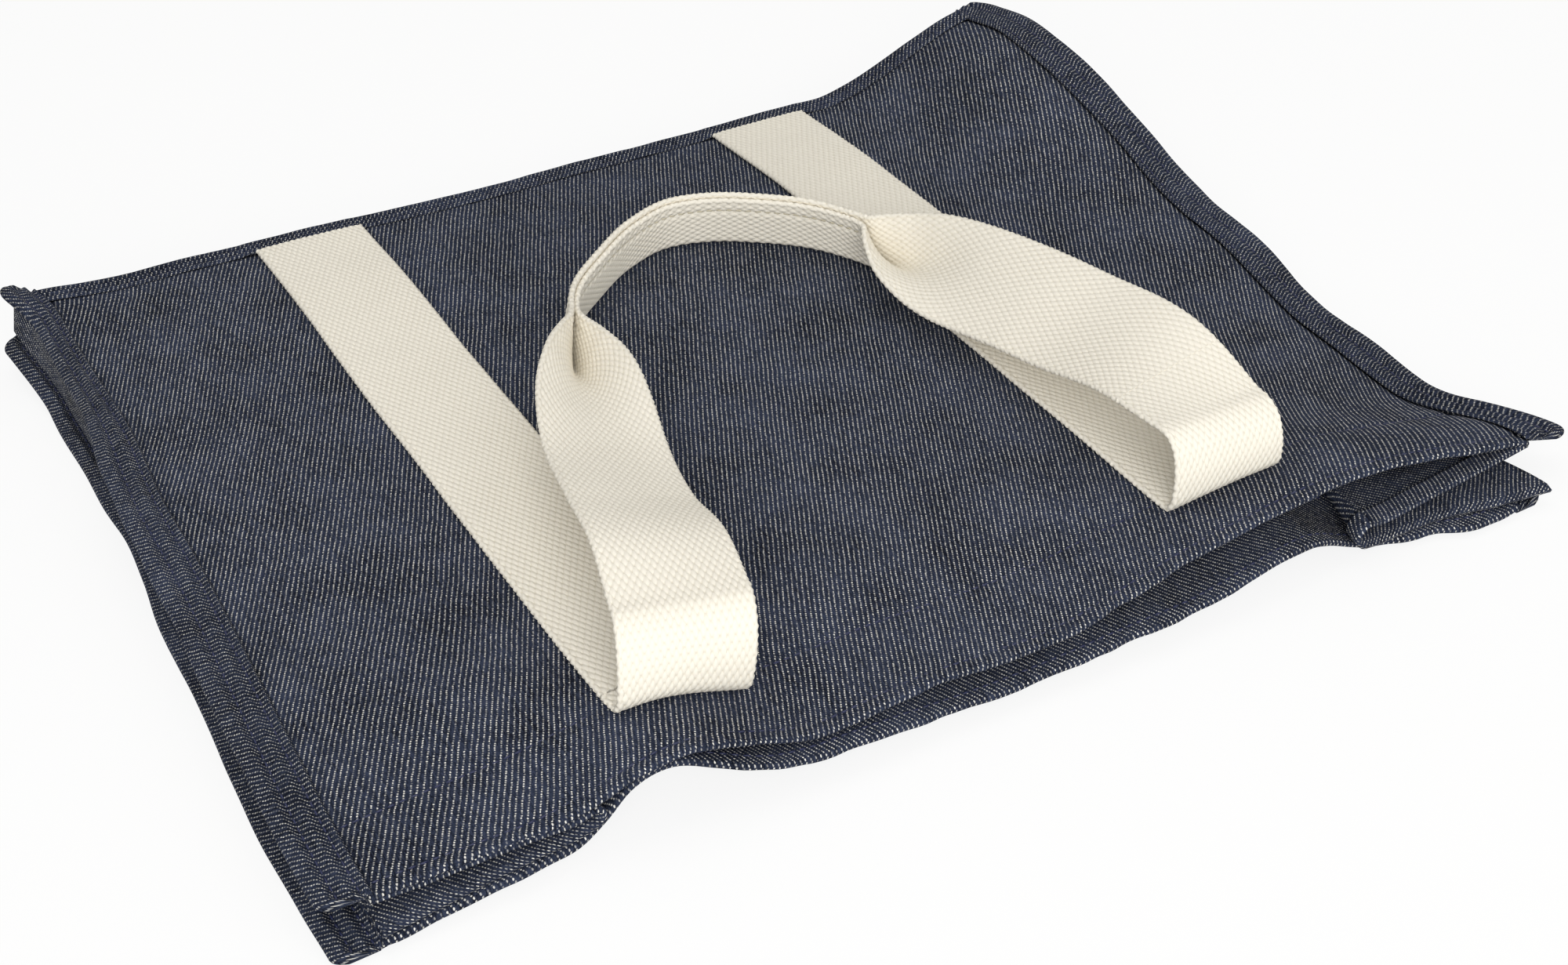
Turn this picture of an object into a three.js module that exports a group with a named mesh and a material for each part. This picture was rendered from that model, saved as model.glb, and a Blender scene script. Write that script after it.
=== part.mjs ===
// A denim shopping bag with webbing handles, lying flat on its back with the mouth towards -Y.
// Millimetres, +Z up. The origin is on the floor, under the middle of the bag.
import * as THREE from 'three';
import { mergeVertices } from 'three/addons/utils/BufferGeometryUtils.js';

// Cloth panels
const PANEL_WIDTH = 376;
const PANEL_HEIGHT = 306;
const DENIM = 1.0;
const GUSSET_HALF = 56;
const TUCK_LENGTH = 92;
const TUCK_BULGE = 4;
const BASE_HALF = 56;
const BASE_INSET = 26;
const BASE_TURN = 6;
const HEM = 28;
const BACK_LAP = 9;

// Seam bindings
const SIDE_BINDING = 13;
const BASE_BINDING = 8;
const BINDING_THICKNESS = 2.4;
const BACK_SPLAY = 5;

// Webbing handles
const WEBBING_WIDTH = 40;
const WEBBING_THICKNESS = 2.0;
const STRAP_SPACING = 186;
const TURN_REACH = 12.5;
const FRONT_TURN_RISE = 26;
const FRONT_REACH = 204.5;
const BACK_REACH = 190.5;
const GRIP_SLACK = 0.6;
const GRIP_APPROACH = 6;
const GRIP_WIDTH = WEBBING_WIDTH / 2;
const GRIP_THICKNESS = 2 * WEBBING_THICKNESS + GRIP_SLACK;

// Magnetic snap
const SNAP_DIAMETER = 18;
const SOCKET_HEIGHT = 1.9;
const STUD_PLATE = 0.6;
const STUD_DIAMETER = 6;
const STUD_HEIGHT = 0.8;
const MAGNET_DIAMETER = 13;
const MAGNET_HEIGHT = 0.9;
const SNAP_FROM_MOUTH = 14;

// How high the two faces of the bag lie
const FRONT_LEVEL = 22;
const BACK_LEVEL = 9;

// Clearances
const LAYER_GAP = 0.4;
const JOIN_GAP = 0.3;
const FOLD_GAP = 0.5;
const INNER_GAP = 0.8;
const GUSSET_LIFT = 4.6;

// Places that follow from the sizes
const HALF_PANEL = PANEL_WIDTH / 2;
const HALF_FRONT = HALF_PANEL + SIDE_BINDING;
const HALF_LENGTH = (PANEL_HEIGHT + BASE_BINDING + BACK_LAP) / 2;
const BASE_Y = HALF_LENGTH;
const PANEL_BASE_Y = BASE_Y - BASE_BINDING;
const FRONT_MOUTH_Y = PANEL_BASE_Y - PANEL_HEIGHT;
const BACK_MOUTH_Y = -HALF_LENGTH;
const HEM_Y = FRONT_MOUTH_Y + HEM;
const STRAP_X = STRAP_SPACING / 2;
const LEG_INNER = STRAP_X - WEBBING_WIDTH / 2;
const LEG_OUTER = STRAP_X + WEBBING_WIDTH / 2;
const LAYER = DENIM / 2 + LAYER_GAP;
const LEG_LIFT = LAYER + WEBBING_THICKNESS / 2;
const HEM_OFFSET = DENIM + LAYER_GAP;
const FLOOR_SEAM = BINDING_THICKNESS / 2;

const denim = new THREE.MeshStandardMaterial({ color: 0x2b3348, roughness: 0.95, metalness: 0 });
const denimInside = new THREE.MeshStandardMaterial({ color: 0x232a3d, roughness: 0.95, metalness: 0 });
const binding = new THREE.MeshStandardMaterial({ color: 0x262e45, roughness: 0.95, metalness: 0 });
const webbing = new THREE.MeshStandardMaterial({ color: 0xe9e2cf, roughness: 0.9, metalness: 0 });
const nickel = new THREE.MeshStandardMaterial({ color: 0xb9b4a6, roughness: 0.35, metalness: 1 });
const ferrite = new THREE.MeshStandardMaterial({ color: 0x3a3a3c, roughness: 0.6, metalness: 0.2 });

const bag = new THREE.Group();

function add(name, geometry, material) {
  const mesh = new THREE.Mesh(geometry, material);
  mesh.name = name;
  bag.add(mesh);
  return mesh;
}

function lerp(from, to, share) {
  return from + (to - from) * share;
}

function ease(share) {
  const held = Math.min(1, Math.max(0, share));
  return held * held * (3 - 2 * held);
}

// A smooth line through the crests and dips of a draped edge, given as [place, height] pairs
function wave(crests, place) {
  if (place <= crests[0][0]) {
    return crests[0][1];
  }
  for (let i = 1; i < crests.length; i++) {
    const [start, low] = crests[i - 1];
    const [end, high] = crests[i];
    if (place <= end) {
      return lerp(low, high, ease((place - start) / (end - start)));
    }
  }
  return crests[crests.length - 1][1];
}

// The cut lines across or along a cloth: each stretch is [from, to, count]
function lines(...stretches) {
  const places = [];
  for (const [from, to, count] of stretches) {
    for (let i = 0; i < count; i++) {
      places.push(lerp(from, to, i / count));
    }
  }
  places.push(stretches[stretches.length - 1][1]);
  return places;
}

// Cuts a box's lower face along the same diagonals as its upper one, so that bent layers stay parallel
function matchDiagonals(box) {
  const corners = box.getIndex();
  const { start, count } = box.groups[5];
  for (let first = start; first < start + count; first += 6) {
    const [a, b, d, , c] = [0, 1, 2, 3, 4].map((step) => corners.getX(first + step));
    [a, b, c, a, c, d].forEach((corner, step) => corners.setX(first + step, corner));
  }
}

// A closed sheet of cells. place(column, row, side) gives each corner; side is 1 on top, -1 below
function sheet(columns, rows, place) {
  const box = new THREE.BoxGeometry(columns, rows, 1, columns, rows, 1);
  matchDiagonals(box);
  box.deleteAttribute('normal');
  box.deleteAttribute('uv');
  const geometry = mergeVertices(box);
  const corners = geometry.getAttribute('position');
  for (let i = 0; i < corners.count; i++) {
    const column = Math.round(corners.getX(i) + columns / 2);
    const row = Math.round(corners.getY(i) + rows / 2);
    const side = Math.sign(corners.getZ(i));
    const point = place(column, row, side);
    corners.setXYZ(i, point.x, point.y, point.z);
  }
  geometry.computeVertexNormals();
  return geometry;
}

// How the front face drapes. Places along an edge are shares of the half width or half length.
const FRONT_DRAPE = {
  level: FRONT_LEVEL,
  mouth: [[-1, 13], [-0.75, 13.5], [-0.51, 24], [-0.3, 13], [-0.12, 15], [0.04, 14], [0.65, 29], [1, 18]],
  mouthReach: 60,
  base: [[-1, 31], [-0.8, 26], [-0.6, 26], [0.03, 14], [0.62, 22], [1, 42]],
  baseReach: 70,
  left: [[-1, 13], [-0.4, 15], [0.2, 19], [0.6, 21], [1, 31]],
  leftReach: 60,
  right: [[-1, 18], [-0.38, 10.5], [0.13, 18], [0.8, 46], [1, 42]],
  rightReach: 80,
};

const BACK_DRAPE = {
  level: BACK_LEVEL,
  mouth: [
    [-1, FLOOR_SEAM], [-0.7, 4.5], [-0.55, 16], [-0.3, 8], [0, 5.5],
    [0.3, 7.5], [0.54, 12], [0.7, 1.8], [1, FLOOR_SEAM],
  ],
  mouthReach: 60,
  base: [[-1, FLOOR_SEAM], [-0.7, 4], [0.7, 4], [1, FLOOR_SEAM]],
  baseReach: 60,
  left: [[-1, FLOOR_SEAM], [1, FLOOR_SEAM]],
  leftReach: 75,
  right: [[-1, FLOOR_SEAM], [1, FLOOR_SEAM]],
  rightReach: 75,
};

// Height of a draped face: a level middle that runs out to the heights along its four edges
function drapedHeight(drape, mouthY, halfWidth, x, y) {
  const xShare = x / halfWidth;
  const yShare = (2 * (y - mouthY)) / (BASE_Y - mouthY) - 1;
  const { level } = drape;
  const mouthPull = 1 - ease((y - mouthY) / drape.mouthReach);
  const basePull = 1 - ease((BASE_Y - y) / drape.baseReach);
  const leftPull = 1 - ease((halfWidth + x) / drape.leftReach);
  const rightPull = 1 - ease((halfWidth - x) / drape.rightReach);
  let height = level;
  for (const [edge, pull] of [[drape.mouth, mouthPull], [drape.base, basePull]]) {
    height += (wave(edge, xShare) - level) * pull;
    height -= (wave(edge, -1) - level) * pull * leftPull;
    height -= (wave(edge, 1) - level) * pull * rightPull;
  }
  for (const [edge, pull] of [[drape.left, leftPull], [drape.right, rightPull]]) {
    height += (wave(edge, yShare) - level) * pull;
  }
  return height;
}

function frontHeight(x, y) {
  return drapedHeight(FRONT_DRAPE, FRONT_MOUTH_Y, HALF_FRONT, x, y);
}

function backHeight(x, y) {
  return drapedHeight(BACK_DRAPE, BACK_MOUTH_Y, HALF_FRONT, x, y);
}

// The right edge of the front bows out near the base and in near the mouth
const RIGHT_BOW = [[-1, 2], [-0.38, -8], [0.65, 5], [1, 0]];
const BOW_REACH = 75;

// The mouth's middle sags a little past the straight edge
const MOUTH_SAG = [[-1, 0], [-0.3, -4], [0.06, -4], [0.35, 0]];
const SAG_REACH = 45;

function frontPoint(x, y, lift) {
  const yShare = (2 * (y - FRONT_MOUTH_Y)) / (BASE_Y - FRONT_MOUTH_Y) - 1;
  const bow = wave(RIGHT_BOW, yShare) * (1 - ease((HALF_FRONT - x) / BOW_REACH));
  const sag = wave(MOUTH_SAG, x / HALF_FRONT) * (1 - ease((y - FRONT_MOUTH_Y) / SAG_REACH));
  return new THREE.Vector3(x + bow, y + sag, frontHeight(x, y) + lift);
}

// The back's side edges lie further out towards the mouth, and its mouth is drawn in under the left leg
const BACK_DRAW = [[-0.8, 0], [-0.55, 7], [-0.3, 0]];

function backPoint(x, y, lift) {
  const mouthShare = (BASE_Y - y) / (BASE_Y - BACK_MOUTH_Y);
  const splay = BACK_SPLAY * mouthShare * Math.sign(x) * (1 - ease((HALF_FRONT - Math.abs(x)) / BOW_REACH));
  const draw = wave(BACK_DRAW, x / HALF_FRONT) * (1 - ease((y - BACK_MOUTH_Y) / SAG_REACH));
  return new THREE.Vector3(x + splay, y + draw, backHeight(x, y) + lift);
}

// A layer of cloth or webbing that lies on the front or the back, on the given cut lines
function layer(point, xLines, yLines, lift, thickness) {
  return sheet(xLines.length - 1, yLines.length - 1, (column, row, side) =>
    point(xLines[column], yLines[row], lift + (side * thickness) / 2));
}

// Cut lines that neighbouring layers share, so that their facets lie parallel
const LEG_COLUMNS = 3;
const SIDE_COLUMNS = 6;
const BASE_COLUMNS = 14;
const GUSSET_COLUMNS = 4;
const GUSSET_ROWS = 8;
const TUCK_COLUMNS = 5;
const TUCK_ROWS = 6;
const MIDDLE_COLUMNS = 10;
const PANEL_EDGE = HALF_PANEL - JOIN_GAP;
const leftLegLines = lines([-LEG_OUTER, -LEG_INNER, LEG_COLUMNS]);
const rightLegLines = lines([LEG_INNER, LEG_OUTER, LEG_COLUMNS]);
const panelLines = lines(
  [-PANEL_EDGE, -LEG_OUTER, SIDE_COLUMNS],
  [-LEG_OUTER, -LEG_INNER, LEG_COLUMNS],
  [-LEG_INNER, LEG_INNER, MIDDLE_COLUMNS],
  [LEG_INNER, LEG_OUTER, LEG_COLUMNS],
  [LEG_OUTER, PANEL_EDGE, SIDE_COLUMNS],
);
const FLAT_START = FRONT_MOUTH_Y + FRONT_DRAPE.mouthReach;
const FLAT_END = BASE_Y - FRONT_DRAPE.baseReach;
const frontHemRows = lines([FRONT_MOUTH_Y, HEM_Y, 2]);
const legRows = lines([HEM_Y, FLAT_START, 3], [FLAT_START, FLAT_END, 4], [FLAT_END, PANEL_BASE_Y, 5]);
const frontRows = [...frontHemRows.slice(0, -1), ...legRows];
const backHemRows = lines([BACK_MOUTH_Y, HEM_Y, 3]);
const backRows = [...backHemRows.slice(0, -1), ...legRows];

// A layer stops one gap short of what it is sewn to at its ends
function shortened(rows, gapAtStart, gapAtEnd) {
  const cut = [...rows];
  cut[0] += gapAtStart;
  cut[cut.length - 1] -= gapAtEnd;
  return cut;
}

// The front and back faces with their turned hems
add('front_panel', layer(frontPoint, panelLines, shortened(frontRows, 0, JOIN_GAP), 0, DENIM), denim);
add('back_panel', layer(backPoint, panelLines, shortened(backRows, 0, JOIN_GAP), 0, DENIM), denim);
add('front_hem', layer(frontPoint, panelLines, frontHemRows, -HEM_OFFSET, DENIM), denimInside);
add('back_hem', layer(backPoint, panelLines, backHemRows, HEM_OFFSET, DENIM), denimInside);

// The back's side bindings lie flat on the floor
function floorPoint(x, y, lift) {
  return backPoint(x, y, 0).setZ(FLOOR_SEAM + lift);
}

// Seam bindings along the sides and the base of both faces
const leftBindingLines = [-HALF_FRONT, -HALF_PANEL];
const rightBindingLines = [HALF_PANEL, HALF_FRONT];
const baseBindingRows = [PANEL_BASE_Y, BASE_Y];
for (const [face, point, sidePoint, rows] of [
  ['front', frontPoint, frontPoint, frontRows],
  ['back', backPoint, floorPoint, backRows],
]) {
  const sideRows = [...rows, BASE_Y];
  add(`${face}_left_binding`, layer(sidePoint, leftBindingLines, sideRows, 0, BINDING_THICKNESS), binding);
  add(`${face}_right_binding`, layer(sidePoint, rightBindingLines, sideRows, 0, BINDING_THICKNESS), binding);
  add(`${face}_base_binding`, layer(point, panelLines, baseBindingRows, 0, BINDING_THICKNESS), binding);
}

// The base is folded in half inwards, between the two faces
const BASE_FOLD_Y = PANEL_BASE_Y - BASE_HALF;
const BASE_SEAM_Y = PANEL_BASE_Y - JOIN_GAP;
const BASE_MIDDLE_Y = PANEL_BASE_Y - BASE_HALF / 2;
const BASE_LIFT = FLOOR_SEAM + INNER_GAP + DENIM / 2;

// Stops along the folded base as [share of the way up, y], from the back's seam round to the front's
const baseStops = [
  [0, BASE_SEAM_Y], [0, BASE_MIDDLE_Y], [0, BASE_FOLD_Y + BASE_TURN],
  [0.15, BASE_FOLD_Y + BASE_TURN / 4], [0.5, BASE_FOLD_Y], [0.85, BASE_FOLD_Y + BASE_TURN / 4],
  [1, BASE_FOLD_Y + BASE_TURN], [1, BASE_MIDDLE_Y], [1, BASE_SEAM_Y],
];

function basePoint(x, stop) {
  const [share, y] = baseStops[stop];
  const low = backHeight(x, y) + BASE_LIFT;
  const high = frontHeight(x, y) - BASE_LIFT;
  return new THREE.Vector3(x, y, lerp(low, high, share));
}

const baseLines = lines([-HALF_PANEL + BASE_INSET, HALF_PANEL - BASE_INSET, BASE_COLUMNS]);
add('base_panel', sheet(baseLines.length - 1, baseStops.length - 1, (column, row, side) => {
  const x = baseLines[column];
  const last = baseStops.length - 1;
  const along = basePoint(x, Math.min(row + 1, last)).sub(basePoint(x, Math.max(row - 1, 0)));
  const out = new THREE.Vector3(1, 0, 0).cross(along.setX(0)).normalize();
  return basePoint(x, row).addScaledVector(out, (side * DENIM) / 2);
}), denimInside);

// Side gussets: each is folded inwards along a line that runs from the base corner to the mouth.
// share is 0 at the seam and 1 at the fold.
const TUCK_Y = BASE_Y - TUCK_LENGTH;
const gussetRows = lines([FRONT_MOUTH_Y, TUCK_Y, GUSSET_ROWS]);
const gussetShares = lines([0, 1, GUSSET_COLUMNS]);

function gussetX(hand, share, y) {
  const reach = (GUSSET_HALF * (PANEL_BASE_Y - y)) / PANEL_HEIGHT;
  return hand * (HALF_PANEL - JOIN_GAP - reach * share);
}

// The layers that lie between a gusset and the outside of either face
function facingLayers(y) {
  return DENIM + INNER_GAP + HEM_OFFSET * (1 - ease((y - HEM_Y) / HEM));
}

function gussetFloor(hand, share, y) {
  return backPoint(gussetX(hand, share, y), y, facingLayers(y)).z;
}

// The left gusset keeps close under the front. The right one sags onto the back towards the mouth.
function upperGusset(hand, share, y) {
  const seam = frontPoint(gussetX(hand, 0, y), y, -facingLayers(y));
  const point = frontPoint(gussetX(hand, share, y), y, -facingLayers(y));
  const highest = Math.min(seam.z, point.z);
  const lowest = gussetFloor(hand, share, y) + DENIM + FOLD_GAP;
  const sag = hand < 0 ? 0 : share * ease((TUCK_Y - y) / (TUCK_Y - FRONT_MOUTH_Y));
  return point.setZ(Math.max(lerp(highest, lowest, sag), lowest));
}

function lowerGusset(hand, share, y) {
  const upper = upperGusset(hand, share, y);
  const seamZ = backPoint(gussetX(hand, 0, y), y, GUSSET_LIFT).z;
  const slope = lerp(seamZ, upper.z - DENIM - FOLD_GAP, share);
  return upper.setZ(Math.max(slope, gussetFloor(hand, share, y)));
}

for (const [name, hand, shares] of [['left', -1, gussetShares], ['right', 1, gussetShares.toReversed()]]) {
  for (const [half, point] of [['upper', upperGusset], ['lower', lowerGusset]]) {
    add(`${name}_gusset_${half}`, sheet(GUSSET_COLUMNS, GUSSET_ROWS, (column, row, side) => {
      const corner = point(hand, shares[column], gussetRows[row]);
      corner.z += (side * DENIM) / 2;
      return corner;
    }), denimInside);
  }
}

// The gusset's cloth at the base corner bulges outwards between the two seams
const tuckRows = lines([TUCK_Y + FOLD_GAP, BASE_Y - JOIN_GAP, TUCK_ROWS]);
const tuckShares = lines([0, 1, TUCK_COLUMNS]);

function tuckPoint(hand, share, y) {
  const seat = BINDING_THICKNESS / 2 + JOIN_GAP + DENIM / 2;
  const inset = hand * (HALF_FRONT - SIDE_BINDING / 2);
  const low = backPoint(inset, y, seat + BINDING_THICKNESS / 2);
  const high = frontPoint(inset, y, -seat);
  const point = new THREE.Vector3().lerpVectors(low, high, share);
  point.x += hand * TUCK_BULGE * Math.sin(Math.PI * share);
  return point;
}

for (const [name, hand, rows] of [['left', -1, tuckRows.toReversed()], ['right', 1, tuckRows]]) {
  add(`${name}_gusset_tuck`, sheet(TUCK_ROWS, TUCK_COLUMNS, (column, row, side) => {
    const point = tuckPoint(hand, tuckShares[row], rows[column]);
    point.x += (hand * side * DENIM) / 2;
    return point;
  }), denimInside);
}

// Webbing legs, sewn flat on the outside of both faces
const sewnRows = shortened(legRows, JOIN_GAP, JOIN_GAP);
for (const [face, point, lift] of [['front', frontPoint, LEG_LIFT], ['back', backPoint, -LEG_LIFT]]) {
  add(`${face}_left_leg`, layer(point, leftLegLines, sewnRows, lift, WEBBING_THICKNESS), webbing);
  add(`${face}_right_leg`, layer(point, rightLegLines, sewnRows, lift, WEBBING_THICKNESS), webbing);
}

// A ribbon along a line of stations, each with a centre, a width and a tilt of its outer edge.
// hand says which edge is the outer one.
const RIBBON_COLUMNS = 4;
const RUN_ROWS = 14;
const GRIP_ROWS = 18;

function ribbon(stations, hand, thickness, rows) {
  const centres = new THREE.CatmullRomCurve3(stations.map((at) => at.centre));
  const turns = new THREE.CatmullRomCurve3(stations.map((at) => new THREE.Vector3(at.width, at.tilt, 0)));
  return sheet(RIBBON_COLUMNS, rows, (column, row, side) => {
    const along = centres.getTangent(row / rows);
    const { x: width, y: tilt } = turns.getPoint(row / rows);
    const flat = new THREE.Vector3(along.y, -along.x, 0).normalize();
    const angle = THREE.MathUtils.degToRad(tilt) * hand;
    const across = flat.multiplyScalar(Math.cos(angle)).add(new THREE.Vector3(0, 0, Math.sin(angle)));
    const out = new THREE.Vector3().crossVectors(across, along).normalize();
    return centres.getPoint(row / rows)
      .addScaledVector(across, (column / RIBBON_COLUMNS - 0.5) * width)
      .addScaledVector(out, (side * thickness) / 2);
  });
}

// Where the webbing turns back at the hem: half a loop from the leg up or down to the run
const TURN_ROWS = 8;

function turn(legLines, point, lift, runZ) {
  return sheet(LEG_COLUMNS, TURN_ROWS, (column, row, side) => {
    const leg = point(legLines[column], HEM_Y, lift);
    const angle = (Math.PI * row) / TURN_ROWS;
    const rise = Math.abs(runZ - leg.z) / 2;
    const way = Math.sign(runZ - leg.z);
    const shell = (way * side * WEBBING_THICKNESS) / 2;
    const y = lerp(leg.y, HEM_Y, row / TURN_ROWS) - (TURN_REACH + shell) * Math.sin(angle);
    const z = leg.z + way * (rise - (rise + shell) * Math.cos(angle));
    return new THREE.Vector3(leg.x, y, z);
  });
}

// The grip: the webbing folded in half and sewn. Its plan is given as [share of the strap's x, share of
// the handle's reach], and its tilt says whether it stands on its folded edge or lies on its side.
function grip(plan, reach, z, tilt) {
  return plan.map(([side, along]) => {
    const centre = new THREE.Vector3(side * STRAP_X, HEM_Y + along * reach, z);
    return { centre, width: GRIP_WIDTH, tilt };
  });
}

// The open stretch of webbing from a turn to one end of the grip. Each bend is [share of the way,
// offset outwards, offset upwards, tilt, share of the webbing's width].
function run(hand, startZ, [gripEnd, gripNext], bends) {
  const start = new THREE.Vector3(hand * STRAP_X, HEM_Y + JOIN_GAP, startZ);
  const away = gripEnd.centre.clone().sub(gripNext.centre).normalize();
  const end = gripEnd.centre.clone().addScaledVector(away, JOIN_GAP);
  const approach = end.clone().addScaledVector(away, GRIP_APPROACH);
  const stations = [[0, 0, 0, 0, 1], ...bends].map(([share, outwards, upwards, tilt, widthShare]) => {
    const centre = new THREE.Vector3().lerpVectors(start, end, share);
    centre.add(new THREE.Vector3(hand * outwards, 0, upwards));
    return { centre, width: WEBBING_WIDTH * widthShare, tilt };
  });
  const folded = [approach, end].map((centre) => ({ centre, width: GRIP_WIDTH, tilt: gripEnd.tilt }));
  return [...stations, ...folded];
}

// The front handle lies folded back over the front panel, with its grip standing on the panel
const FRONT_GRIP_Z = FRONT_LEVEL + LAYER + GRIP_WIDTH / 2;
const FRONT_RUN_Z = FRONT_LEVEL + LEG_LIFT + FRONT_TURN_RISE;
const frontGrip = grip([
  [-0.41, 0.825], [-0.21, 0.91], [0, 0.975], [0.17, 1],
  [0.33, 0.983], [0.48, 0.94], [0.63, 0.878], [0.74, 0.792],
], FRONT_REACH, FRONT_GRIP_Z, 90);
const frontLeftRun = run(-1, FRONT_RUN_Z, frontGrip, [
  [0.03, 1.6, 0.9, 0, 1], [0.13, 1.5, 5, 9, 1], [0.3, 4, 2.5, 14, 1],
  [0.48, 5.5, 0, 13, 1], [0.65, 7, 0, 14, 1], [0.81, 5.5, 1, 30, 0.75],
]);
const frontRightRun = run(1, FRONT_RUN_Z, frontGrip.toReversed(), [
  [0.03, 0.7, 0.9, 0, 1], [0.19, 0.5, 6, 23, 1], [0.4, -1, 4, 30, 1],
  [0.54, -2.5, 4.5, 33, 1], [0.7, -3.5, 5, 36, 1], [0.84, -3.5, 3.5, 48, 0.8],
]);
add('front_left_run', ribbon(frontLeftRun, -1, WEBBING_THICKNESS, RUN_ROWS), webbing);
add('front_right_run', ribbon(frontRightRun, 1, WEBBING_THICKNESS, RUN_ROWS), webbing);
add('front_grip', ribbon(frontGrip, 1, GRIP_THICKNESS, GRIP_ROWS), webbing);

// The back handle is folded back flat under the bag
const BACK_RUN_Z = WEBBING_THICKNESS / 2;
const backGrip = grip([
  [-0.62, 0.76], [-0.54, 0.863], [-0.32, 0.963], [0, 1], [0.32, 0.963], [0.54, 0.863], [0.62, 0.76],
], BACK_REACH, GRIP_THICKNESS / 2, 0);
for (const [name, hand, ends] of [['left', -1, backGrip], ['right', 1, backGrip.toReversed()]]) {
  const stations = run(hand, BACK_RUN_Z, ends, [
    [0.08, 2.8, 0, 0, 1], [0.38, 4, 0, 0, 1], [0.72, 2, 0, 0, 1],
  ]);
  stations.forEach((at) => at.centre.setZ(BACK_RUN_Z));
  add(`back_${name}_run`, ribbon(stations, hand, WEBBING_THICKNESS, RUN_ROWS), webbing);
}
add('back_grip', ribbon(backGrip, 1, GRIP_THICKNESS, GRIP_ROWS), webbing);

for (const [name, legLines] of [['left', leftLegLines], ['right', rightLegLines]]) {
  add(`front_${name}_turn`, turn(legLines, frontPoint, LEG_LIFT, FRONT_RUN_Z), webbing);
  add(`back_${name}_turn`, turn(legLines, backPoint, -LEG_LIFT, BACK_RUN_Z), webbing);
}

// The magnetic snap in the middle of the mouth, sewn to the two hem facings
const SNAP_Y = FRONT_MOUTH_Y + SNAP_FROM_MOUTH;
const SNAP_SIDES = 20;

function slopeAt(height) {
  const step = SNAP_DIAMETER / 2;
  return Math.atan2(height(0, SNAP_Y + step) - height(0, SNAP_Y - step), 2 * step);
}

function lathe(profile) {
  const geometry = new THREE.LatheGeometry(profile.map(([r, z]) => new THREE.Vector2(r, z)), SNAP_SIDES);
  return geometry.rotateX(Math.PI / 2);
}

// Turns a profile of [radius, height] pairs about Z and stands it on the hem, square to its slope
function snapHalf(name, profile, material, height, lift, facing) {
  const mesh = add(name, lathe(profile), material);
  mesh.rotation.x = slopeAt(height) + (facing < 0 ? Math.PI : 0);
  mesh.position.set(0, SNAP_Y, height(0, SNAP_Y) + facing * lift);
}

const SNAP_R = SNAP_DIAMETER / 2;
const MAGNET_R = MAGNET_DIAMETER / 2;
const STUD_R = STUD_DIAMETER / 2;
const SNAP_SEAT = HEM_OFFSET + DENIM / 2 + JOIN_GAP;
const POCKET = MAGNET_HEIGHT + JOIN_GAP;
const BEVEL = 0.3;
snapHalf('snap_socket', [
  [0, POCKET], [MAGNET_R + JOIN_GAP, POCKET], [MAGNET_R + JOIN_GAP, 0], [SNAP_R, 0],
  [SNAP_R, SOCKET_HEIGHT - BEVEL], [SNAP_R - BEVEL, SOCKET_HEIGHT], [0, SOCKET_HEIGHT],
], nickel, frontHeight, SNAP_SEAT, -1);
snapHalf('snap_magnet', [
  [0, 0], [MAGNET_R, 0], [MAGNET_R, MAGNET_HEIGHT], [0, MAGNET_HEIGHT],
], ferrite, frontHeight, SNAP_SEAT, -1);
snapHalf('snap_stud', [
  [0, 0], [SNAP_R, 0], [SNAP_R, STUD_PLATE], [STUD_R, STUD_PLATE],
  [STUD_R, STUD_PLATE + STUD_HEIGHT], [0, STUD_PLATE + STUD_HEIGHT],
], nickel, backHeight, SNAP_SEAT, 1);

export default bag;
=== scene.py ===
"""Looks for a denim shopping bag with webbing handles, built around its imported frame."""

import math

import bmesh
import bpy
import numpy as np
from mathutils import Matrix, Vector


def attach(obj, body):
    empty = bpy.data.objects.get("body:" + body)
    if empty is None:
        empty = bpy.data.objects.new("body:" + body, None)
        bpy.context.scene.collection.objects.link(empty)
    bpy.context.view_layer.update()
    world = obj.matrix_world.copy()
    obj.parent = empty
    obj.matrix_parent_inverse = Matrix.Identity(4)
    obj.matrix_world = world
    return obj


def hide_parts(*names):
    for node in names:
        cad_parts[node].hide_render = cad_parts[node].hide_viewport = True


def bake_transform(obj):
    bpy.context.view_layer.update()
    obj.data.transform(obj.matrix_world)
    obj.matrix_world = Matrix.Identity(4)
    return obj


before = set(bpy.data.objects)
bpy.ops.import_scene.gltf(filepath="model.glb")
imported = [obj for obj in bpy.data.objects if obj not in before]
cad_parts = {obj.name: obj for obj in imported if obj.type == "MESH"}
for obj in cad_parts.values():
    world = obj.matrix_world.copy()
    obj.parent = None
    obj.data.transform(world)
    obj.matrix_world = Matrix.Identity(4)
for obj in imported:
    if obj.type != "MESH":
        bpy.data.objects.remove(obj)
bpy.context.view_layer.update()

bl_info = {
    "name": "Denim Shopping Bag",
    "version": (1, 0, 0),
    "blender": (4, 5, 0),
    "location": "View3D > Sidebar > Bag",
    "description": "Dresses the frame of a denim shopping bag in cloth, webbing and thread",
    "category": "Object",
}

MM = 0.001
SIDES = (("left", -1), ("right", 1))

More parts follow.
